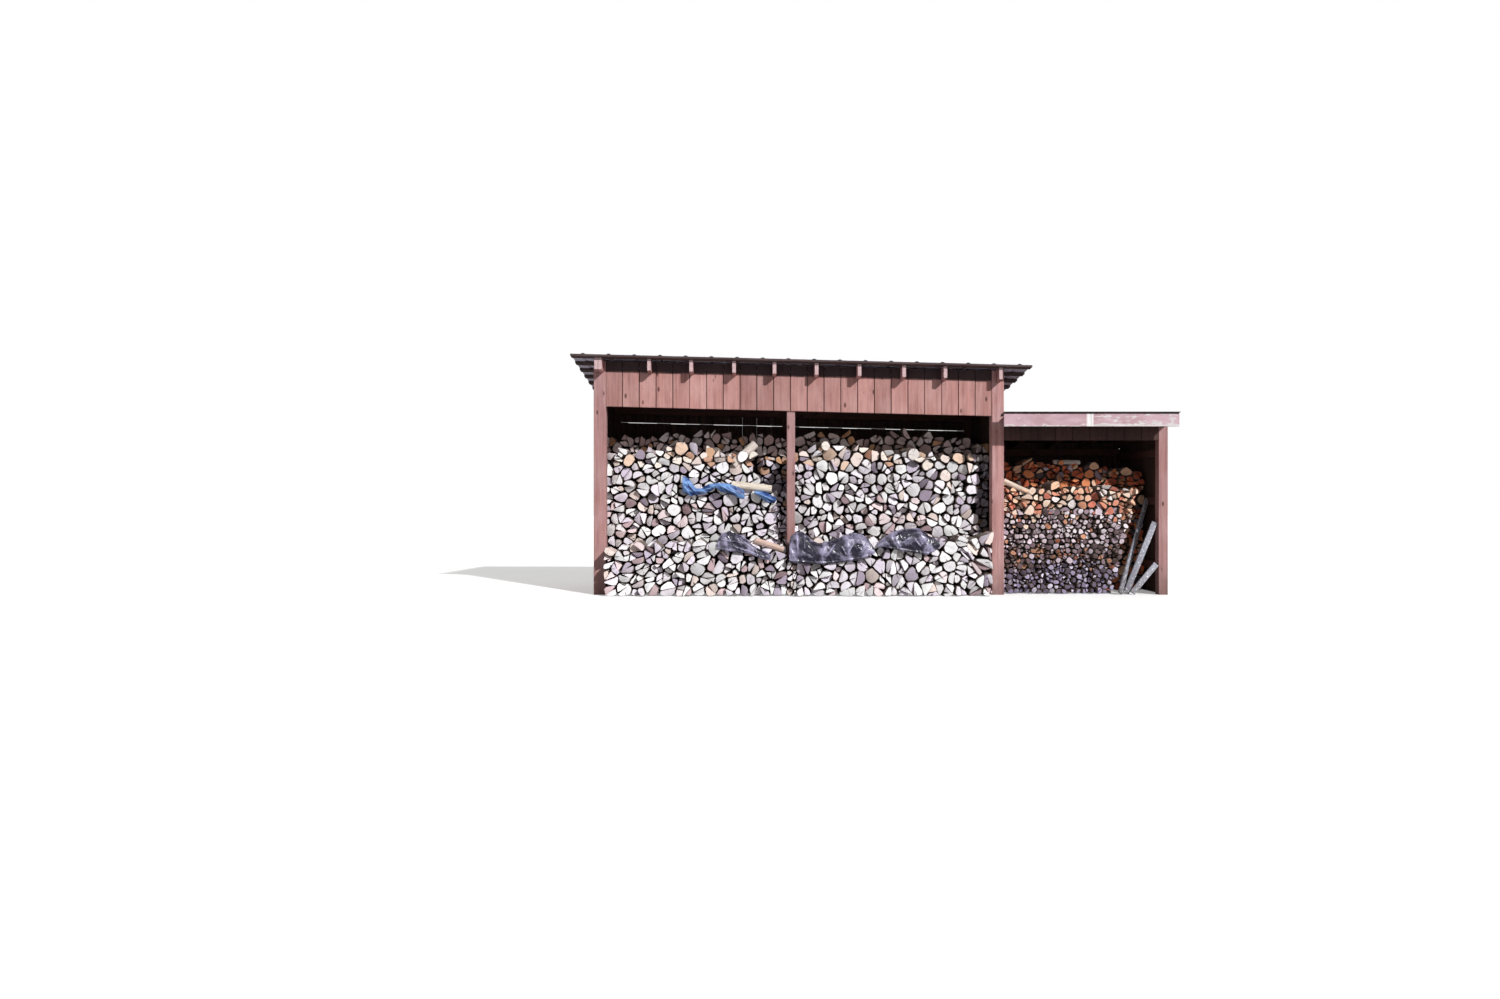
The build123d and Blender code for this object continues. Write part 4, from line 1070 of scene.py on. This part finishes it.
# The walls of boards set side by side: the way the boards follow each other, the rails or beam
# behind them, the axis that the wall looks along and the side it looks to
WALLS = {
    "front_band": ("x", "front_beam", 1, -1),
    "rear_wall": ("x", "rear_rails", 1, 1),
    "side_wall_left": ("y", "side_rails_left", 0, -1),
    "side_wall_right": ("y", "side_rails_right", 0, 1),
    "side_bay_header": ("x", "side_bay_front_beam", 1, -1),
    "side_bay_wall": ("y", "side_bay_rails", 0, 1),
    "side_bay_rear_wall": ("x", "side_bay_rear_rails", 1, 1),
}
boards = {}
for material, grain, ease, nodes in TIMBER:
    for node in nodes.split():
        slot = SLOTS.get(node, "stained_timber")
        side_by_side = WALLS[node][0] if node in WALLS else ""
        boards[node] = board_piece(
            node, material, slot, grain, ease, UNEVEN.get(node, 0.0), side_by_side, seed=len(boards))

nails = []
for wall, (_, rails, axis, side) in WALLS.items():
    nails += face_nails(boards[wall], boards[rails], axis, side)
studs("wall_nails", nails, NAIL_RADIUS, NAIL_HEIGHT)
studs("roof_screws", roof_screws("roof_panels", boards["roof_battens"]), SCREW_RADIUS, SCREW_HEIGHT)

for node, material in (("roof_panels", METAL), ("side_bay_roof_cover", FELT), ("firewood_core_left", STACK),
                       ("firewood_core_right", STACK), ("firewood_core_side", STACK)):
    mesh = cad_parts[node].data
    for index in range(len(mesh.materials)):
        mesh.materials[index] = material

# Black sheets: top line, hem, how far the flap lies back, bulge, creases, seed and what they lie on
BLACK_SHEETS = {
    "black_sheet_left": (
        [(-0.92, 0.66), (-0.86, 0.75), (-0.77, 0.785), (-0.62, 0.735), (-0.45, 0.60), (-0.26, 0.50)],
        [(-0.92, 0.60), (-0.82, 0.56), (-0.70, 0.55), (-0.515, 0.53), (-0.36, 0.46), (-0.26, 0.445)],
        0.10, 0.012,
        [((-0.86, 0.70), (-0.60, 0.66), 0.03, 0.018), ((-0.72, 0.62), (-0.34, 0.49), 0.025, 0.02)],
        1, "firewood_low_row_left_logs"),
    "black_sheet_middle": (
        [(-0.035, 0.64), (-0.01, 0.73), (0.05, 0.785), (0.14, 0.785), (0.195, 0.735), (0.235, 0.675),
         (0.31, 0.648), (0.50, 0.672), (0.605, 0.73), (0.71, 0.762), (0.84, 0.75), (0.94, 0.69),
         (1.01, 0.59)],
        [(-0.035, 0.44), (0.0, 0.412), (0.2, 0.402), (0.50, 0.404), (0.67, 0.428), (0.84, 0.456),
         (1.01, 0.53)],
        0.22, 0.045,
        [((0.06, 0.75), (0.07, 0.52), 0.035, 0.026), ((0.16, 0.76), (0.15, 0.56), 0.022, 0.02),
         ((0.527, 0.652), (0.404, 0.481), 0.028, 0.03), ((0.605, 0.62), (0.66, 0.51), 0.024, 0.03),
         ((0.735, 0.63), (0.66, 0.51), 0.024, 0.03), ((0.80, 0.62), (0.86, 0.56), 0.022, 0.026),
         ((0.92, 0.66), (0.84, 0.54), 0.022, 0.02)],
        2, "firewood_low_row_right_logs"),
    "black_sheet_right": (
        [(1.045, 0.63), (1.12, 0.69), (1.217, 0.762), (1.385, 0.815), (1.574, 0.815), (1.68, 0.745),
         (1.796, 0.68), (1.81, 0.64)],
        [(1.045, 0.60), (1.111, 0.612), (1.26, 0.58), (1.468, 0.54), (1.659, 0.518), (1.786, 0.592),
         (1.81, 0.62)],
        0.20, 0.03,
        [((1.34, 0.66), (1.46, 0.735), 0.025, 0.024), ((1.50, 0.70), (1.58, 0.60), 0.022, 0.03),
         ((1.62, 0.70), (1.56, 0.62), 0.02, 0.028), ((1.66, 0.64), (1.60, 0.56), 0.02, 0.024)],
        3, "firewood_low_row_right_logs"),
}
# Blue sheets: name, top and bottom line, creases and seed
BLUE_SHEETS = (
    ("blue_sheet_cloth",
     [(-1.365, 1.49), (-1.29, 1.46), (-1.195, 1.33), (-1.13, 1.33), (-1.03, 1.385), (-0.93, 1.40),
      (-0.79, 1.392), (-0.66, 1.35), (-0.581, 1.305)],
     [(-1.365, 1.28), (-1.26, 1.235), (-1.10, 1.262), (-1.0, 1.30), (-0.95, 1.345), (-0.88, 1.285),
      (-0.76, 1.265), (-0.66, 1.21), (-0.581, 1.19)],
     [((-1.33, 1.44), (-1.20, 1.28), 0.035, 0.03), ((-1.14, 1.30), (-0.98, 1.34), 0.025, 0.03),
      ((-0.90, 1.37), (-0.66, 1.25), 0.03, 0.035)], 5),
    ("blue_sheet_end_cloth",
     [(-0.456, 1.30), (-0.318, 1.29), (-0.18, 1.21)],
     [(-0.456, 1.27), (-0.418, 1.24), (-0.318, 1.165), (-0.205, 1.14), (-0.18, 1.18)],
     [((-0.42, 1.27), (-0.22, 1.18), 0.03, 0.04)], 6),
)

# Where logs stay behind sheets: the sheet's x and z ranges and its back
BEHIND_BLACK = [(top[0][0], top[-1][0], min(z for _, z in hem), math.inf, BLACK_BACK)
                for top, hem, *_ in BLACK_SHEETS.values()]
BEHIND_BLUE = [(-1.36, -0.58, 1.19, 1.42, BLUE_FACE), (-0.45, -0.19, 1.15, 1.29, BLUE_FACE)]

# Right ends of the stacks, and the edges (z, x) of those that stop short of the next post
RIGHT_END = STACK_RIGHT - 0.18
SIDE_END = SIDE_INNER - 0.19
SIDE_RECESS = SIDE_INNER - 0.51
LEFT_STACK_EDGE = [(0.0, -0.15), (1.33, -0.2), (1.42, -0.43), (1.8, -0.45), (2.0, -0.6)]
RIGHT_STACK_EDGE = [(0.0, RIGHT_END - 0.03), (0.9, RIGHT_END - 0.01), (1.1, RIGHT_END - 0.06),
                    (1.5, RIGHT_END - 0.02), (2.0, RIGHT_END)]
SIDE_STACK_EDGE = [(0.0, SIDE_INNER - 0.55), (1.365, SIDE_END)]

# Kinds of stack: the weights of 1 to 4 pieces to a cell, and the share of them that look round
MAIN_KIND = ((22, 46, 27, 5), 0.12)
LOW_KIND = ((12, 48, 32, 8), 0.06)
SMALL_KIND = ((58, 32, 8, 2), 0.4)
SIDE_KIND = ((26, 46, 24, 4), 0.12)
LOW = dict(front=LOW_ROW_FRONT, size=0.168, kind=LOW_KIND, colours=low_colours)
MAIN = dict(front=FRONT_ROW, size=0.158, kind=MAIN_KIND, colours=main_colours)
BEHIND = dict(front=SECOND_ROW, size=0.17, kind=MAIN_KIND, colours=dim_colours)
SIDE = dict(front=SIDE_ROW, size=0.122, kind=SIDE_KIND, colours=side_colours)
SIDE_BEHIND = dict(front=SIDE_SECOND_ROW, size=0.135, kind=SIDE_KIND, colours=side_back_colours)


def shares(of, *values):
    return [value * of for value in values]


# Piles: node, slot, style, stacks (seed, left, right, heights of the top, bottom, what differs from
# the style) and loose logs (seed, start, end, radius, colour, bare), with y from the style's front
PILES = (
    ("firewood_low_row_left", "firewood_grey", LOW,
     [(31, LEFT_INNER, POST_LEFT, (0.60, 0.635, 0.675, 0.73, 0.70, 0.62), 0.0, dict(sheets=BEHIND_BLACK))],
     [(5, (-0.46, 0.02, 0.69), (-0.10, 0.06, 0.575), 0.045, (232, 202, 190), True)]),
    ("firewood_low_row_right", "firewood_grey", LOW,
     [(32, POST_RIGHT, RIGHT_INNER - 0.03, (0.72, 0.69, 0.735, 0.745, 0.755, 0.712, 0.78), 0.0,
       dict(sheets=BEHIND_BLACK)),
      (44, POST_LEFT - 0.01, POST_RIGHT + 0.01, (0.46, 0.46), 0.0, dict(size=0.14, length=SHORT_LENGTH))],
     []),
    ("firewood_front_row_left", "firewood_grey", MAIN,
     [(33, STACK_LEFT, -0.15, shares(BAND_BOTTOM, 0.767, 0.798, 0.803, 0.797, 0.785, 0.77), LOW_CORE_TOP,
       dict(right_edge=LEFT_STACK_EDGE, sheets=BEHIND_BLUE))],
     [(8, (-0.74, 0.01, 1.375), (-0.24, -0.03, 1.32), 0.056, (250, 240, 224), True),
      (9, (-0.72, 0.06, 1.64), (-0.44, 0.10, 1.90), 0.066, (246, 236, 228), True),
      (10, (-1.02, 0.02, 1.79), (-0.95, LOG_LENGTH, 1.81), 0.07, (232, 186, 150), False)]),
    ("firewood_front_row_right", "firewood_grey", MAIN,
     [(34, 0.0, RIGHT_END, (1.82, 1.86, 1.82, 1.76, 1.73), LOW_CORE_TOP, dict(right_edge=RIGHT_STACK_EDGE))],
     [(12, (1.562, -0.02, 1.76), (1.50, 0.36, 1.78), 0.088, (238, 230, 226), False),
      (13, (0.45, 0.02, 1.87), (0.38, 0.38, 1.88), 0.07, (232, 222, 214), False)]),
    ("firewood_back_row_left", "firewood_grey", BEHIND,
     [(35, STACK_LEFT, -0.43, shares(BAND_BOTTOM, 0.871, 0.887, 0.897, 0.891), 0.735 * BAND_BOTTOM, {}),
      (36, -0.43, 0.0, shares(BAND_BOTTOM, 0.889, 0.889), 0.545 * BAND_BOTTOM, dict(size=0.15)),
      (43, -0.22, 0.0, (1.26, 1.26), LOW_CORE_TOP, dict(front=CORE_FRONT, size=0.13))],
     []),
    ("firewood_back_row_right", "firewood_grey", BEHIND,
     [(37, 0.0, RIGHT_END, shares(BAND_BOTTOM, 0.889, 0.894, 0.891, 0.864), 0.735 * BAND_BOTTOM, {}),
      (38, RIGHT_END, STACK_RIGHT, shares(BAND_BOTTOM, 0.864, 0.854), LOW_CORE_TOP,
       dict(front=RIGHT_RECESS, size=0.15))],
     []),
    ("firewood_front_row_side", "firewood_orange", SIDE,
     [(39, RIGHT_FACE, SIDE_END, (1.03, 1.035, 1.04, 1.035, 1.03), 0.0,
       dict(size=0.074, kind=SMALL_KIND, right_edge=SIDE_STACK_EDGE)),
      (40, RIGHT_FACE, SIDE_END, (1.34, 1.36, 1.366, 1.357, 1.30), 0.99, dict(right_edge=SIDE_STACK_EDGE))],
     [(11, (RIGHT_FACE + 0.02, 0.02, 1.43), (RIGHT_FACE + 0.36, 0.05, 1.28), 0.04, (246, 226, 208), True)]),
    ("firewood_back_row_side", "firewood_orange", SIDE_BEHIND,
     [(41, RIGHT_FACE, SIDE_RECESS, shares(HEADER_BOTTOM, 0.875, 0.872, 0.87, 0.844),
       0.643 * HEADER_BOTTOM, {}),
      (42, SIDE_RECESS, SIDE_RAIL_X, shares(HEADER_BOTTOM, 0.844, 0.808), 0.0, {})],
     [(14, (3.46, 0.05, 1.68), (3.80, 0.06, 1.675), 0.035, (250, 240, 234), True)]),
)
for node, slot, style, stacks, loose in PILES:
    logs = Logs()
    for seed, left, right, heights, bottom, changes in stacks:
        logs.fill(seed, top_line(left, right, heights), bottom, **{**style, **changes})
    for seed, *ends, radius, colour, bare in loose:
        start, end = [(x, style["front"] + y, z) for x, y, z in ends]
        logs.lay(seed, start, end, radius, colour, bare)
    logs.piece(node + "_logs", slot, node)

for node, sheet in BLACK_SHEETS.items():
    draped_sheet(node, *sheet)
for sheet in BLUE_SHEETS:
    caught_sheet(*sheet)

# Floor, camera and light
floor_corners = [(x * FLOOR_REACH, y * FLOOR_REACH, 0) for x, y in ((-1, -1), (1, -1), (1, 1), (-1, 1))]
floor = new_mesh("floor", floor_corners, [(0, 1, 2, 3)])
add_object("floor", floor, floor_finish("floor"))

camera = add_object("camera", bpy.data.cameras.new("camera"))
camera.location = CAMERA_PLACE
camera.rotation_euler = (math.radians(90), 0, 0)
camera.data.lens = CAMERA_LENS
camera.data.sensor_width = SENSOR_WIDTH
camera.data.clip_end = CLIP_END
bpy.context.scene.camera = camera

for name, travel, strength, angle in LAMPS:
    lamp = add_object(name, bpy.data.lights.new(name, "SUN"))
    lamp.data.energy = strength
    lamp.data.angle = math.radians(angle)
    lamp.rotation_euler = Vector(travel).to_track_quat("-Z", "Y").to_euler()

world = bpy.data.worlds.new("world")
bpy.context.scene.world = world
world.use_nodes = True
sky = Nodes(world.node_tree)
rays = sky.node("LightPath", {}).outputs
seen = sky.maths("MAXIMUM", rays["Is Camera Ray"], rays["Is Glossy Ray"])
seen = sky.maths("MAXIMUM", seen, rays["Is Transmission Ray"])
level = sky.node("MapRange", {"Value": seen, "To Min": SKY_STRENGTH, "To Max": 1.0})
background = world.node_tree.nodes["Background"]
sky.put(background.inputs["Color"], (1, 1, 1, 1))
sky.put(background.inputs["Strength"], level.outputs["Result"])

bpy.context.scene.view_settings.view_transform = "Standard"
